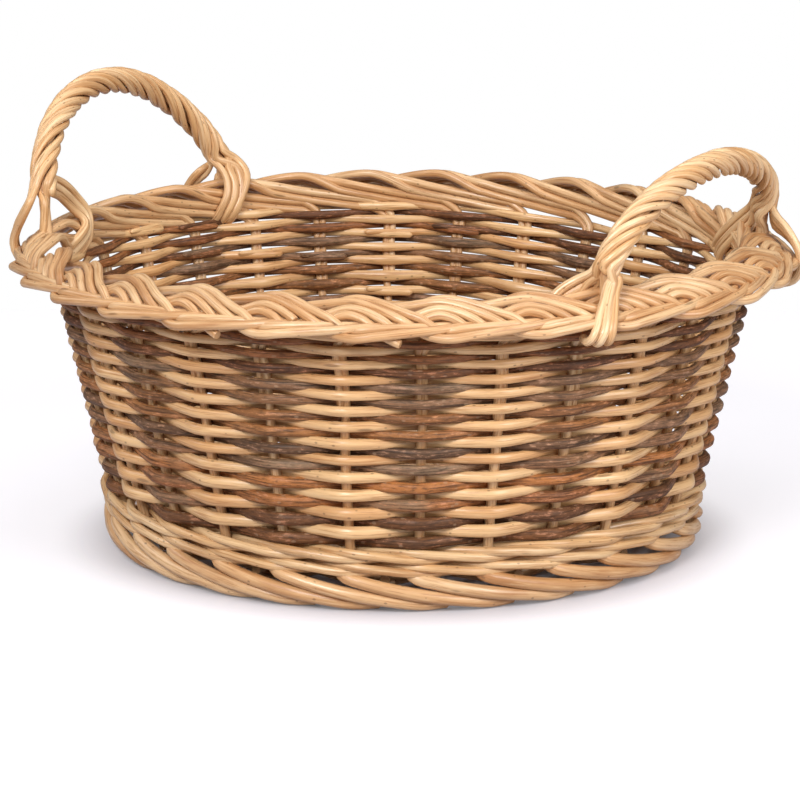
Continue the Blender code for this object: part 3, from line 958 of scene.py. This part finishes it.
@dataclass
class StakeSet:
    """A side stake with its foot rod, its second rod and their runs in the rim border.

    The border is a flat plait. The two rods of each stake rise inside the wall, turn over the
    inner edge, go outwards, come back as a band of their own and go outwards once more. Moves are
    the turns along the plait from which a rod, hidden under others, changes its place in the band.
    Lead is the way over the inner edge, as turn, radius in mm and height in mm. Foot run is the
    way along the foot, as turn, share of the reach outwards and share of the height. Thick to and
    thin from are heights at which a stake starts to change, each with the length of the change;
    out from, back from, roll from and level from are such turns. The ways up the wall are heights
    in mm, each with the share of the step aside that makes room for the other rod.
    Peeking are the stakes, counted from 0, whose second rod is cut longer, so that its end shows.
    """

    form: Form
    make: RodMaker
    rim_rod_radius: float = 2.06 * MM
    wall_rod_radius: float = 1.70 * MM
    foot_rod_radius: float = 2.8 * MM
    foot_rod_reach: float = 5.6 * MM
    foot_gap: tuple[float, float] = (0.05 * MM, 0.3 * MM)
    foot_spread: float = 0.06
    foot_widths: tuple[float, float] = (0.92, 0.10)
    foot_sides: int = 14
    foot_spacing: float = 3.0 * MM
    side_spread: tuple[float, float] = (0.20, 0.46)
    stake_way: tuple[tuple[float, float], ...] = (
        (17.0, 0.0), (40.0, 0.0), (62.0, 0.0), (78.0, 0.25), (90.0, 0.9), (104.0, 1.0), (116.0, 1.0),
    )
    second_start: tuple[float, float] = (80.0, 92.0)
    second_start_aside: float = -0.8
    second_rise: float = 8.0
    second_way: tuple[tuple[float, float], ...] = ((105.0, -1.0), (117.0, -1.0))
    rise_spacing: float = 3.5 * MM
    plait_spacing: float = 4.0 * MM
    rim_taper: float = 0.12
    thick_to: tuple[float, float] = (70.0 * MM, 22.0 * MM)
    thin_from: tuple[float, float] = (60.0 * MM, 20.0 * MM)
    wall_top: float = 119.0 * MM
    wall_lengths: tuple[float, float] = (115.0 * MM, 40.0 * MM)
    second_thinning: float = 0.25 * MM
    smoothing: int = 3
    band_pitch: float = 3.95 * MM
    plait_middle: float = 4.2 * MM
    plait_layer: float = 2.0 * MM
    plait_lift: float = 2.5 * MM
    plait_crown: float = 1.9 * MM
    plait_half_width: float = 12.5 * MM
    layer_width: float = 2.4 * MM
    period: float = 3.0
    period_start: float = -0.6
    out_from: tuple[float, float] = (-0.35, 0.5)
    back_from: tuple[float, float] = (0.78, 0.55)
    corner_turns: float = 0.36
    corner_samples: int = 15
    sample_turns: float = 0.065
    moves: tuple[float, float] = (0.75, 2.35)
    move_turns: float = 0.5
    stops: tuple[float, float] = (3.60, 3.56)
    stop_spread: float = 0.04
    peeking_stop: float = 3.76
    peeking: tuple[int, ...] = (2, 6, 15, 17, 24)
    zigzag: tuple[tuple[float, float], ...] = ((-0.02, -11.2), (0.93, 11.0), (2.38, 3.6), (2.98, -11.2))
    lead_turns: float = 2.1
    lead_slot: float = -1.0
    roll_from: tuple[float, float] = (-0.75, 0.9)
    level_from: tuple[float, float] = (-0.45, 0.75)
    lead: tuple[Place, ...] = (
        (-1.88, 150.3, 122.2), (-1.5, 150.2, 124.0), (-1.1, 150.0, 126.3), (-0.7, 149.6, 129.0),
        (-0.35, 149.4, 131.8), (-0.1, 150.2, 134.7), (0.1, 152.2, 136.6), (0.3, 154.5, 137.6),
        (0.5, 156.5, 138.0),
    )
    foot_run: tuple[Place, ...] = (
        (2.46, -0.05, 0.02), (2.1, 0.40, 0.02), (1.6, 0.76, 0.23), (1.05, 0.96, 0.49), (0.56, 1.0, 0.78),
        (0.22, 1.02, 1.03), (0.0, 0.90, 1.20), (-0.11, 0.42, 1.44), (-0.06, 0.0, 2.0),
    )

    def pieces(self, workshop: Workshop) -> None:
        """Make one piece for each stake.

        Args:
            workshop: Where the pieces are made.
        """
        for index in range(STAKE_COUNT):
            rods = [self.foot_rod(index)]
            for kind, stop in zip(RimRod, self.stops):
                if kind is RimRod.SECOND and index in self.peeking:
                    stop = self.peeking_stop
                else:
                    stop = stop + self.make.spread(-self.stop_spread, self.stop_spread)
                rods.append(self.rim_rod(index, kind, stop))
            workshop.piece(f"stake_rods_{index + 1:02d}", rods, "buff_willow", f"stake_{index + 1:02d}")

    def foot_rod(self, index: int) -> Rod:
        """Make the rod that comes out under the wale and is laid along the foot.

        Args:
            index: The stake's number, from 0.

        Returns:
            The rod.
        """
        low = self.foot_rod_radius + self.foot_gap[0]
        high = self.form.foot_height - self.foot_gap[1] - self.foot_rod_radius
        start = index + self.make.spread(-self.foot_spread, self.foot_spread)
        turns, outs, shares = np.array(self.foot_run).T
        heights = np.maximum(low, low + shares * (high - low))
        radii = self.form.foot_radius + outs * self.foot_rod_reach
        line = flowing(on_ring(start + turns, radii, heights), self.foot_spacing)
        share = run_lengths(line)
        share = share / share[-1]
        thin, more = self.foot_widths
        radii = self.foot_rod_radius * (thin + more * np.sin(math.pi * share))
        return self.make.rod(line, radii, sides=self.foot_sides, start=RodEnd.TIP)

    def rim_rod(self, index: int, kind: RimRod, stop: float) -> Rod:
        """Make a stake or second rod, from the wall up into the plait of the rim.

        Args:
            index: The stake's number, from 0.
            kind: Which of the stake's two rods it is.
            stop: Turns along the plait at which the rod is cut.

        Returns:
            The rod.
        """
        plait = self.plait_run(index, kind.value, stop)
        rise = flowing(np.vstack([self.upright(index, kind), plait[:2]]), self.rise_spacing)
        line = np.vstack([rise[:-1], flowing(plait[1:], self.plait_spacing)])
        return self.make.rod(line, self.thickness(line, kind))

    def lateral(self, tau: Array) -> Array:
        """Find how far out a band lies; it goes out steeply and comes back slowly.

        Args:
            tau: Turns along the plait.

        Returns:
            The places across the border, with the corners of the zigzag rounded.
        """
        turns, places = np.array(self.zigzag).T
        total = np.zeros_like(tau)
        for shift in np.linspace(-self.corner_turns, self.corner_turns, self.corner_samples):
            wrapped = (tau + shift - turns[0]) % self.period + turns[0]
            total += np.interp(wrapped, turns, places * MM)
        return total / self.corner_samples

    def outward(self, tau: Array) -> Array:
        """Return 1 where a band goes out and -1 where it comes back, eased between them."""
        wrapped = (tau - self.period_start) % self.period + self.period_start
        return 2.0 * (eased(wrapped, *self.out_from) - eased(wrapped, *self.back_from)) - 1.0

    def plait_run(self, index: int, slot: float, stop: float) -> Array:
        """Lead a rod over the inner edge of the rim and along the plait.

        Args:
            index: The stake's number, from 0.
            slot: The rod's place in its band of four, in rod pitches from the middle.
            stop: Turns along the plait at which the rod is cut.

        Returns:
            The points of this part of the rod.
        """
        tau = np.arange(self.lead[0][0], stop, self.sample_turns)
        spacing = self.form.rim_radius * TURN_ANGLE
        lateral = self.lateral(tau)
        slope = np.gradient(lateral, tau * spacing)
        size = np.sqrt(1.0 + slope**2)
        moved = sum(eased(tau, start, self.move_turns) for start in self.moves)
        offset = (slot + moved) * self.band_pitch
        rod_lateral = lateral + offset / size
        ahead = -offset * slope / size / spacing
        over = np.tanh((rod_lateral - self.plait_middle) / self.layer_width)
        layer = -self.plait_layer * over * self.outward(tau)
        crown = self.plait_crown * (rod_lateral / self.plait_half_width) ** 2
        radius, height = self.form.rim_section(rod_lateral, self.plait_lift - crown + layer)
        lead_tau, lead_radius, lead_height = np.array(self.lead).T
        beside = (slot - self.lead_slot) * self.band_pitch
        roll = eased(tau, *self.roll_from) * (math.pi / 2 - self.form.rim_tilt)
        in_lead = np.interp(tau, lead_tau, lead_radius) * MM + beside * np.sin(roll)
        up_lead = np.interp(tau, lead_tau, lead_height) * MM + beside * np.cos(roll)
        share = eased(tau, *self.level_from)
        radius = in_lead + (radius - in_lead) * share
        height = up_lead + (height - up_lead) * share
        return on_ring(index + self.lead_turns + tau + ahead * share, radius, height)

    def upright(self, index: int, kind: RimRod) -> Array:
        """Place the part of a rod that stands in the wall.

        Args:
            index: The stake's number, from 0.
            kind: Which of the stake's two rods it is; they stand side by side near the rim.

        Returns:
            Its points, from the lowest up.
        """
        aside = self.make.spread(*self.side_spread) * self.band_pitch
        way = self.stake_way
        if kind is RimRod.SECOND:
            start = self.make.spread(*self.second_start)
            way = ((start, self.second_start_aside), (start + self.second_rise, -1.0), *self.second_way)
        heights, shares = np.array(way).T * np.array([[MM], [1.0]])
        wall = self.form.wall_radius(heights)
        return on_ring(index + shares * aside / (wall * TURN_ANGLE), wall, heights)

    def thickness(self, line: Array, kind: RimRod) -> Array:
        """Work out how thick a rod is: thin where two stand in the wall, tapered in the rim.

        Args:
            line: The rod's points.
            kind: Which of the stake's two rods it is.

        Returns:
            A radius for each point.
        """
        length, height = run_lengths(line), line[:, 2]
        radii = self.rim_rod_radius * (1.0 - self.rim_taper * length / length[-1])
        if kind is RimRod.STAKE:
            lower = 1.0 - eased(height, *self.thick_to)
            upper = eased(height, *self.thin_from) * (height < self.wall_top)
            thin = radii + (self.wall_rod_radius - self.rim_rod_radius) * upper
            standing = self.form.stake_radius * lower + (1 - lower) * thin
            radii = np.where(length < self.wall_lengths[0], standing, radii)
        else:
            radii = np.where(length < self.wall_lengths[1], radii - self.second_thinning, radii)
        window = 2 * self.smoothing + 1
        padded = np.pad(radii, self.smoothing, mode="edge")
        return np.convolve(padded, np.ones(window) / window, "valid")


@dataclass
class Base:
    """The basket's bottom: crossed sticks and two rods that chase each other outwards.

    Widths are shares of a stick's radius. Stick widths are the one in the middle and what is lost
    towards the ends. Half widths are the one of a split stick's halves in the middle and what they
    gain outwards, and half gains say from where and over what share of the way out.
    """

    form: Form
    make: RodMaker
    split: int = 3
    through: int = 4
    stick_radius: float = 2.3 * MM
    weaver_radius: float = 2.2 * MM
    clearance: float = 0.4 * MM
    weave_start: float = 25.0 * MM
    weave_margin: float = 6.2 * MM
    split_share: float = 1.75
    opening_share: float = 1.62
    slath_margin: float = 3.5 * MM
    slath_bend: float = 4.0 * MM
    reach: float = 1.2 * MM
    nudge_share: float = 0.16
    nudge_radius: float = 50.0 * MM
    opening_profile: tuple[float, ...] = (0.0, 0.0, 0.35, 1.0, 0.35, 0.0, 0.0)
    stick_widths: tuple[float, float] = (1.02, 0.10)
    half_widths: tuple[float, float] = (0.72, 0.28)
    half_gains: tuple[float, float] = (0.15, 0.4)
    stick_spacing: float = 4.0 * MM
    weaver_spacing: float = 3.5 * MM

    def __post_init__(self) -> None:
        """Work out the height of the sticks' middles."""
        self.height = self.form.foot_height - self.clearance - self.stick_radius

    def sticks(self) -> list[tuple[Array, Array, Array]]:
        """Lay out the whole sticks along X, and then the split ones along Y.

        Returns:
            For each stick, where its straight middle ends, where it ends itself, and the
            factors that carry both to its other half.
        """
        through_pitch = 2 * self.stick_radius + self.clearance
        split_pitch = 2 * self.stick_radius * self.split_share + self.clearance
        through_straight = self.split * split_pitch / 2 + self.slath_margin
        split_straight = self.through * through_pitch / 2 + self.slath_margin + self.slath_bend
        kinds = (
            (self.through, through_pitch, through_straight, 1),
            (self.split, split_pitch, split_straight, -1),
        )
        found = []
        for count, pitch, straight, order in kinds:
            for place in np.arange(count) - (count - 1) / 2:
                angle = place * math.pi / (self.split + self.through)
                end = (self.form.foot_radius + self.reach) * np.array([math.cos(angle), math.sin(angle)])
                stick = np.array([straight, place * pitch]), end, np.array([-1.0, 1.0])
                found.append(tuple(part[::order] for part in stick))
        return found

    def pieces(self, workshop: Workshop) -> None:
        """Make a piece for each stick and each base weaver.

        Args:
            workshop: Where the pieces are made.
        """
        for index, stick in enumerate(self.sticks()):
            rods = [self.stick(*stick, 0.0)]
            if index >= self.through:
                rods = [self.stick(*stick, side) for side in (-1.0, 1.0)]
            workshop.piece(f"base_rod_{index + 1}", rods, "base_willow", f"base_stick_{index + 1}")
        for index in range(2):
            rods = [self.round(index)]
            workshop.piece(f"base_round_{index + 1}", rods, "base_willow", f"base_weaver_{index + 1}")

    def stick(self, bend: Array, end: Array, flip: Array, side: float) -> Rod:
        """Make a whole stick, or one half of a split stick.

        Args:
            bend: Where its straight middle ends.
            end: Where it ends.
            flip: The factors that carry both to its other half.
            side: 0 for a whole stick, -1 for the lower and 1 for the upper half of a split one.

        Returns:
            The rod.
        """
        halfway, middle = (end + bend) / 2, (bend + bend * flip) / 2
        flat = [end * flip, halfway * flip, bend * flip, middle, bend, halfway, end]
        opening = side * self.opening_share * self.stick_radius
        lifts = np.array(self.opening_profile) * opening
        line = flowing(np.column_stack([flat, self.height + lifts]), self.stick_spacing)
        share = np.abs(run_lengths(line) / run_lengths(line)[-1] - 0.5) * 2
        radii = self.stick_radius * (self.stick_widths[0] - self.stick_widths[1] * share)
        if side:
            radii = radii * (self.half_widths[0] + self.half_widths[1] * eased(share, *self.half_gains))
        return self.make.rod(line, radii)

    def round(self, number: int) -> Rod:
        """Make one of the two base weavers, over one stick and under the next.

        Args:
            number: 0 or 1.

        Returns:
            The rod.
        """
        spokes = []
        for bend, end, flip in self.sticks():
            spokes += [(bend, end), (bend * flip, end * flip)]
        spokes.sort(key=lambda spoke: math.atan2(spoke[1][1], spoke[1][0]) % (2 * math.pi))
        pitch = 2 * self.weaver_radius + self.clearance
        radius = self.weave_start + number * pitch
        spoke_angle = 2 * math.pi / len(spokes)
        knots = []
        step = 0
        while radius <= self.form.foot_radius - self.weave_margin:
            angle = self.crossing(*spokes[step % len(spokes)], radius)
            side = 1.0 if (step + number) % 2 == 0 else -1.0
            height = self.height + side * (self.stick_radius + self.weaver_radius)
            nudge = self.nudge_share * spoke_angle * min(1.0, self.nudge_radius / radius)
            for turned in (angle - nudge, angle + nudge):
                knots.append([radius * math.cos(turned), radius * math.sin(turned), height])
            step += 1
            radius += 2 * pitch / len(spokes)
        return self.make.rod(flowing(np.array(knots), self.weaver_spacing), self.weaver_radius)

    @staticmethod
    def crossing(bend: Array, end: Array, radius: float) -> float:
        """Find where a stick's outer run has this distance from the axis.

        Args:
            bend: Where the run starts.
            end: Where it ends.
            radius: The distance from the axis.

        Returns:
            The angle of that place round the axis.
        """
        run = end - bend
        a, b, c = run @ run, 2 * bend @ run, bend @ bend - radius**2
        share = (-b + math.sqrt(max(b * b - 4 * a * c, 0.0))) / (2 * a)
        place = bend + run * share
        return math.atan2(place[1], place[0])


# The ways of the handles' strands below the rope, as turn, radius in mm and height in mm.
FOOT_ROUTES: dict[str, tuple[Place, ...]] = {
    "near_a": (
        (-2.86, 161.8, 140.2), (-2.96, 165.0, 135.2), (-3.07, 168.8, 130.2), (-3.16, 172.0, 124.8),
        (-3.21, 172.2, 121.4), (-3.22, 168.5, 119.4), (-3.18, 163.0, 119.8),
    ),
    "near_b": (
        (-2.79, 162.4, 141.0), (-2.89, 165.4, 135.5), (-2.98, 169.0, 130.2), (-3.07, 172.4, 124.2),
        (-3.11, 172.3, 121.0), (-3.10, 169.0, 119.0), (-3.06, 163.0, 119.6),
    ),
    "near_c": (
        (-2.70, 161.2, 142.2), (-2.81, 164.6, 136.6), (-2.90, 168.8, 130.6), (-2.98, 172.6, 124.4),
        (-3.00, 172.3, 121.0), (-2.98, 169.0, 119.0), (-2.94, 163.0, 119.6),
    ),
    "near_in": (
        (-2.80, 152.2, 139.6), (-2.88, 148.6, 134.2), (-2.98, 146.0, 128.5), (-3.05, 146.3, 123.0),
        (-3.10, 149.0, 119.0),
    ),
    "near_cross": (
        (-2.84, 152.6, 141.0), (-2.97, 148.6, 137.8), (-3.17, 145.3, 133.0), (-3.30, 145.0, 127.0),
        (-3.35, 148.0, 121.0),
    ),
    "far_sweep": (
        (2.05, 154.0, 142.5), (2.30, 151.0, 137.0), (2.55, 148.0, 130.5), (2.80, 146.3, 124.0),
        (3.00, 147.5, 118.5),
    ),
    "far_out": (
        (1.66, 163.5, 141.6), (1.58, 167.0, 138.6), (1.53, 170.8, 134.2), (1.52, 173.6, 128.8),
        (1.55, 174.2, 123.2), (1.60, 171.0, 118.5), (1.65, 165.0, 117.5),
    ),
    "far_down": ((1.78, 158.4, 138.5), (1.78, 159.0, 134.5), (1.78, 160.0, 130.5)),
    "left_out": (
        (15.74, 164.4, 149.0), (15.66, 168.2, 141.5), (15.52, 171.8, 134.6), (15.45, 173.4, 128.6),
        (15.46, 171.5, 123.2), (15.50, 166.0, 119.5), (15.50, 160.8, 119.5),
    ),
    "left_in": (
        (15.10, 154.2, 151.0), (14.80, 151.0, 143.5), (14.65, 147.5, 136.5), (14.75, 145.8, 130.5),
        (15.00, 146.5, 126.5), (15.30, 150.0, 122.5), (15.50, 153.0, 120.0),
    ),
    "left_down": ((15.60, 158.2, 148.5), (15.60, 158.4, 143.0), (15.60, 158.8, 137.0), (15.60, 159.8, 131.0)),
    "back_out": (
        (11.60, 163.4, 141.2), (11.65, 168.0, 136.4), (11.65, 173.5, 129.0), (11.60, 174.4, 122.5),
        (11.55, 170.0, 118.5), (11.50, 163.0, 118.0),
    ),
    "back_in": (
        (11.35, 151.2, 143.0), (11.33, 147.6, 137.0), (11.38, 145.6, 130.0), (11.47, 146.5, 123.5),
        (11.50, 149.5, 119.5), (11.50, 154.0, 118.0),
    ),
    "back_loop": (
        (11.19, 154.0, 146.8), (11.11, 150.2, 141.9), (11.13, 147.5, 137.5), (11.20, 146.0, 133.1),
        (11.37, 146.0, 123.1), (11.45, 150.0, 119.0),
    ),
    "back_down": ((11.40, 158.4, 138.5), (11.40, 159.0, 134.5), (11.40, 160.0, 130.5)),
}

# For each foot, the routes of its strands from the outermost in, and how far in mm each strand
# lies beside its route.
LEFT_FEET: tuple[FootPlan, FootPlan] = (
    (("back_out", (0, 3.8)), ("back_down", (0,)), ("back_in", (-3.8, 0, 3.8)), ("back_loop", (0,))),
    (("left_out", (0, 3.8)), ("left_down", (2.2, -2.2)), ("left_in", (-3.8, 0, 3.8))),
)
RIGHT_FEET: tuple[FootPlan, FootPlan] = (
    (("near_b", (0,)), ("near_a", (0,)), ("near_c", (0,)), ("near_in", (3.6, 0)), ("near_cross", (0, 3.8))),
    (("far_out", (-3.8, 0, 3.8)), ("far_down", (0,)), ("far_sweep", (-3.8, 0, 3.8))),
)


@dataclass
class RopeHandle:
    """A handle twisted like a rope round a bow, its strands led over the border at both feet."""

    form: Form
    make: RodMaker
    name: str
    middle_turn: float
    top: float
    lean: float
    half_span: float
    pointing: float
    feet: tuple[FootPlan, FootPlan]
    tail: float = 7.0 * MM
    foot_lift: float = 17.5 * MM
    foot_inset: float = 2.5 * MM
    stations: int = 120
    samples_per_station: int = 40
    strands: int = 7
    bundles: int = 3
    twists: float = 3.6
    sway_spread: tuple[float, float] = (-0.12, 0.12)
    sway_reach: float = 0.10
    sway_angle: float = 9.0
    sway_phase: tuple[float, float] = (0.0, 6.0)
    bow_radius: float = 2.3 * MM
    bow_foot: tuple[float, float] = (157.0 * MM, 132.0 * MM)
    bow_margin: int = 4
    bow_step: int = 6
    bow_spacing: float = 3.0 * MM
    strand_radius: float = 1.66 * MM
    strand_spread: tuple[float, float] = (0.90, 1.12)
    strand_step: int = 3
    strand_spacing: float = 2.4 * MM
    sorting_stations: tuple[int, int] = (5, -6)
    lay_radius: float = 4.42 * MM
    flare: float = 0.20
    flare_length: float = 55.0 * MM
    route_gap: float = 4.5 * MM

    def __post_init__(self) -> None:
        """Work out the rope's middle line."""
        self.foot_turns = self.middle_turn - self.half_span, self.middle_turn + self.half_span
        self.points, self.normal = self.middle_line()

    def middle_line(self) -> tuple[Array, Array]:
        """Draw the arch of the rope, which leans outwards and drops straight at both feet.

        Returns:
            Evenly spaced points of the rope's middle line, and the arch's normal.
        """
        radius = self.form.rim_radius - self.foot_inset
        height = self.form.rim_height + self.foot_lift
        start, end = (on_ring(turn, radius, height) for turn in self.foot_turns)
        outward = on_ring(self.middle_turn, 1.0, 0.0)
        up = outward * self.lean + np.array([0.0, 0.0, self.top - height])
        angle = np.linspace(0.0, 1.0, self.samples_per_station * self.stations)[:, None] * math.pi
        centre, across = (start + end) / 2, (start - end) / 2
        rise = np.maximum(np.sin(angle), 0.0) ** self.pointing
        drop = np.array([0.0, 0.0, self.tail])
        raw = np.vstack([start - drop, centre + across * np.cos(angle) + up * rise, end - drop])
        length = run_lengths(raw)
        even = np.linspace(0.0, length[-1], self.stations)
        points = np.stack([np.interp(even, length, raw[:, axis]) for axis in range(3)], axis=-1)
        normal = np.cross(across, up)
        normal /= np.linalg.norm(normal)
        return points, normal if normal @ outward >= 0 else -normal

    def pieces(self, workshop: Workshop) -> None:
        """Make the bow and the bundles of strands.

        Args:
            workshop: Where the pieces are made.
        """
        start, end = (on_ring(turn, *self.bow_foot) for turn in self.foot_turns)
        arch = self.points[self.bow_margin : -self.bow_margin : self.bow_step]
        line = flowing(np.array([start, *arch, end]), self.bow_spacing)
        bow = self.make.rod(line, self.bow_radius)
        workshop.piece(f"{self.name}_bow", [bow], "handle_bow_willow", f"{self.name}_handle_bow")
        bundles: list[list[Rod]] = [[] for _ in range(self.bundles)]
        wound = self.wound()
        starts, ends = self.footings(wound, 0), self.footings(wound, -1)
        for index, (run, start, end) in enumerate(zip(wound, starts, ends)):
            bundles[index % self.bundles].append(self.strand(run, start, end))
        for number, rods in enumerate(bundles, 1):
            node = f"{self.name}_handle_wrap_{number}"
            workshop.piece(f"{self.name}_strands_{number}", rods, "handle_wrap_willow", node)

    def wound(self) -> list[Array]:
        """Wind the strands round the rope's middle line.

        Returns:
            The points of each strand's run in the rope.
        """
        tangents = np.gradient(self.points, axis=0)
        tangents /= np.linalg.norm(tangents, axis=1)[:, None]
        side = np.cross(tangents, self.normal)
        share = np.linspace(0.0, 1.0, self.stations)
        found = []
        for index in range(self.strands):
            aside, phase = self.make.spread(*self.sway_spread), self.make.spread(*self.sway_phase)
            sway = aside + self.sway_reach * np.sin(share * self.sway_angle + phase)
            angle = 2 * math.pi * (index / self.strands + self.twists * share) + sway
            offset = self.normal * np.cos(angle)[:, None] + side * np.sin(angle)[:, None]
            found.append(self.points + offset * self.lay_radius)
        return found

    def footings(self, wound: list[Array], end: int) -> list[Array]:
        """Lead every strand from the rope's end over the border, outermost strands first.

        Args:
            wound: The strands' runs in the rope.
            end: 0 for the foot at the lower turn, -1 for the other.

        Returns:
            For each strand, its points from just below the rope to its tip.
        """
        station = self.sorting_stations[end]
        reach = [float(np.hypot(run[station][0], run[station][1])) for run in wound]
        order = sorted(range(len(wound)), key=lambda index: -reach[index])
        plan = [(route, shift) for route, shifts in self.feet[end] for shift in shifts]
        found: dict[int, Array] = {}
        for index, (route, shift) in zip(order, plan):
            turns, radii, heights = np.array(FOOT_ROUTES[route]).T
            knots = on_ring(turns, radii * MM, heights * MM)
            sideways = np.cross(np.gradient(knots, axis=0), knots * np.array([1.0, 1.0, 0.0]))
            sideways /= np.linalg.norm(sideways, axis=1)[:, None]
            found[index] = knots + sideways * shift * MM
        return [found[index] for index in range(len(wound))]

    def strand(self, run: Array, start: Array, end: Array) -> Rod:
        """Join a strand's run in the rope to its two feet.

        Args:
            run: Its points in the rope.
            start: Its points below the rope's start, downwards.
            end: Its points below the rope's end, downwards.

        Returns:
            The rod, thicker towards its feet.
        """
        half = len(run) // 2
        first = int(np.argmax(run[:half, 2] > start[0][2] + self.route_gap))
        last = half + int(np.argmax(run[half:, 2] <= end[0][2] + self.route_gap))
        knots = np.array([*start[::-1], *run[first : last : self.strand_step], *end])
        line = flowing(knots, self.strand_spacing)
        place = run_lengths(line)
        near_end = np.minimum(place, place[-1] - place)
        flare = 1.0 + self.flare * (1.0 - smooth(near_end / self.flare_length))
        return self.make.rod(line, self.strand_radius * self.make.spread(*self.strand_spread) * flare)


def facing(place: Place, target: Place) -> Euler:
    """Return the turn of a lamp or camera at a place that looks at a target."""
    return (Vector(target) - Vector(place)).to_track_quat("-Z", "Y").to_euler()


@dataclass(frozen=True)
class Studio:
    """The floor, the white surroundings, the lamps and the camera."""

    camera_place: Place = (0.7609, -1.3614, 0.4252)
    camera_aim: Place = (-0.00135, -0.00076, 0.0601)
    lens: float = 162.0
    sensor_width: float = 36.0
    floor_place: tuple[float, float] = (0.24, -0.43)
    floor_radius: float = 1.0
    floor_sides: int = 96
    floor_colour: Colour = (0.50, 0.485, 0.53)
    floor_glow: Colour = (1.0, 0.99, 1.0)
    floor_roughness: float = 0.6
    # Painted light on the floor: how strongly it glows for the camera, and the distances from the basket's
    # axis across which that glow fades in, so that nearer in the floor is darker, a painted shadow.
    painted_floor_glow: float = 0.575
    shadow_reach: tuple[float, float] = (0.112, 0.160)
    ambient: float = 0.19
    lamp_aim: Place = (0.0, 0.0, 0.07)
    lamp_plan: tuple[tuple[str, Place, float, float], ...] = (
        ("key", (0.22, -1.50, 1.08), 0.6, 22.5),
        ("fill_left", (-1.2, -0.5, 1.0), 0.8, 5.5),
        ("fill_right", (1.35, -0.35, 0.8), 0.8, 15.0),
        ("top", (0.1, 0.15, 1.5), 1.2, 8.0),
    )

    def build(self) -> None:
        """Set the whole stage."""
        bpy.context.scene.view_settings.view_transform = "Standard"
        self.floor()
        self.world()
        self.lamps()
        self.camera()

    def floor(self) -> None:
        """Lay a pale round table top, which the camera sees lighter away from the basket: painted light, a
        glow for camera rays that fades out near the basket and so leaves a painted shadow round its foot.
        """
        bpy.ops.object.select_all(action="DESELECT")
        place = (*self.floor_place, 0.0)
        bpy.ops.mesh.primitive_circle_add(
            vertices=self.floor_sides, radius=self.floor_radius, fill_type="NGON", location=place
        )
        floor = bpy.context.object
        floor.name = "floor"
        material = bpy.data.materials.new("pale_floor")
        material.use_nodes = True
        sheet = NodeSheet(material.node_tree)
        axis = (-self.floor_place[0], -self.floor_place[1], 0.0)
        inputs = {0: sheet.node("ShaderNodeTexCoord").outputs["Object"], 1: axis}
        away = sheet.node("ShaderNodeVectorMath", inputs, operation="DISTANCE").outputs["Value"]
        # Painted light and shadow: the floor glows for the camera only away from the basket, and is darker
        # round its foot.
        clear = sheet.between(away, *self.shadow_reach, 0.0, self.painted_floor_glow)
        seen = sheet.node("ShaderNodeLightPath").outputs["Is Camera Ray"]
        shader = {
            "Base Color": (*self.floor_colour, 1.0),
            "Roughness": self.floor_roughness,
            "Emission Color": (*self.floor_glow, 1.0),
            "Emission Strength": sheet.math("MULTIPLY", seen, clear),
        }
        sheet.feed(material.node_tree.nodes["Principled BSDF"], shader)
        floor.data.materials.append(material)

    def world(self) -> None:
        """Fill the surroundings with soft light that the camera sees as white."""
        world = bpy.data.worlds.new("white_surroundings")
        bpy.context.scene.world = world
        world.use_nodes = True
        sheet = NodeSheet(world.node_tree)
        seen = sheet.node("ShaderNodeLightPath").outputs["Is Camera Ray"]
        strength = sheet.math("MULTIPLY_ADD", seen, 1.0 - self.ambient, self.ambient)
        inputs = {"Color": (1.0, 1.0, 1.0, 1.0), "Strength": strength}
        sheet.feed(world.node_tree.nodes["Background"], inputs)

    def lamps(self) -> None:
        """Place a large key in front, a fill from each side and a lamp above."""
        for name, place, size, power in self.lamp_plan:
            bpy.ops.object.light_add(type="AREA", location=place)
            lamp = bpy.context.object
            lamp.name = name
            lamp.data.size = size
            lamp.data.energy = power
            lamp.rotation_euler = facing(place, self.lamp_aim)

    def camera(self) -> None:
        """Stand the camera at the photograph's angle."""
        bpy.ops.object.camera_add(location=self.camera_place)
        camera = bpy.context.object
        camera.data.lens = self.lens
        camera.data.sensor_width = self.sensor_width
        camera.rotation_euler = facing(self.camera_place, self.camera_aim)
        bpy.context.scene.camera = camera


def main() -> None:
    """Build the basket's pieces in order, then the stage."""
    logging.basicConfig(level=logging.INFO, format="%(message)s")
    form = Form()
    workshop = Workshop()
    Base(form, RodMaker(seed=11)).pieces(workshop)
    StakeSet(form, RodMaker(seed=12)).pieces(workshop)
    Wale(form, RodMaker(seed=13)).pieces(workshop)
    weave = WallWeave(form, RodMaker(seed=14))
    weave.pieces(workshop, Weave.DARK, [finish.name for finish in BARK])
    weave.pieces(workshop, Weave.LIGHT, ["light_willow"] * len(BARK))
    left = RopeHandle(
        form, RodMaker(seed=15), "left", middle_turn=13.5, top=191.8 * MM, lean=17.9 * MM,
        half_span=2.12, pointing=1.34, feet=LEFT_FEET,
    )
    right = RopeHandle(
        form, RodMaker(seed=16), "right", middle_turn=-0.5, top=177.6 * MM, lean=9.7 * MM,
        half_span=2.30, pointing=1.06, feet=RIGHT_FEET,
    )
    left.pieces(workshop)
    right.pieces(workshop)
    Studio().build()
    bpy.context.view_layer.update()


if __name__ == "__main__":
    main()
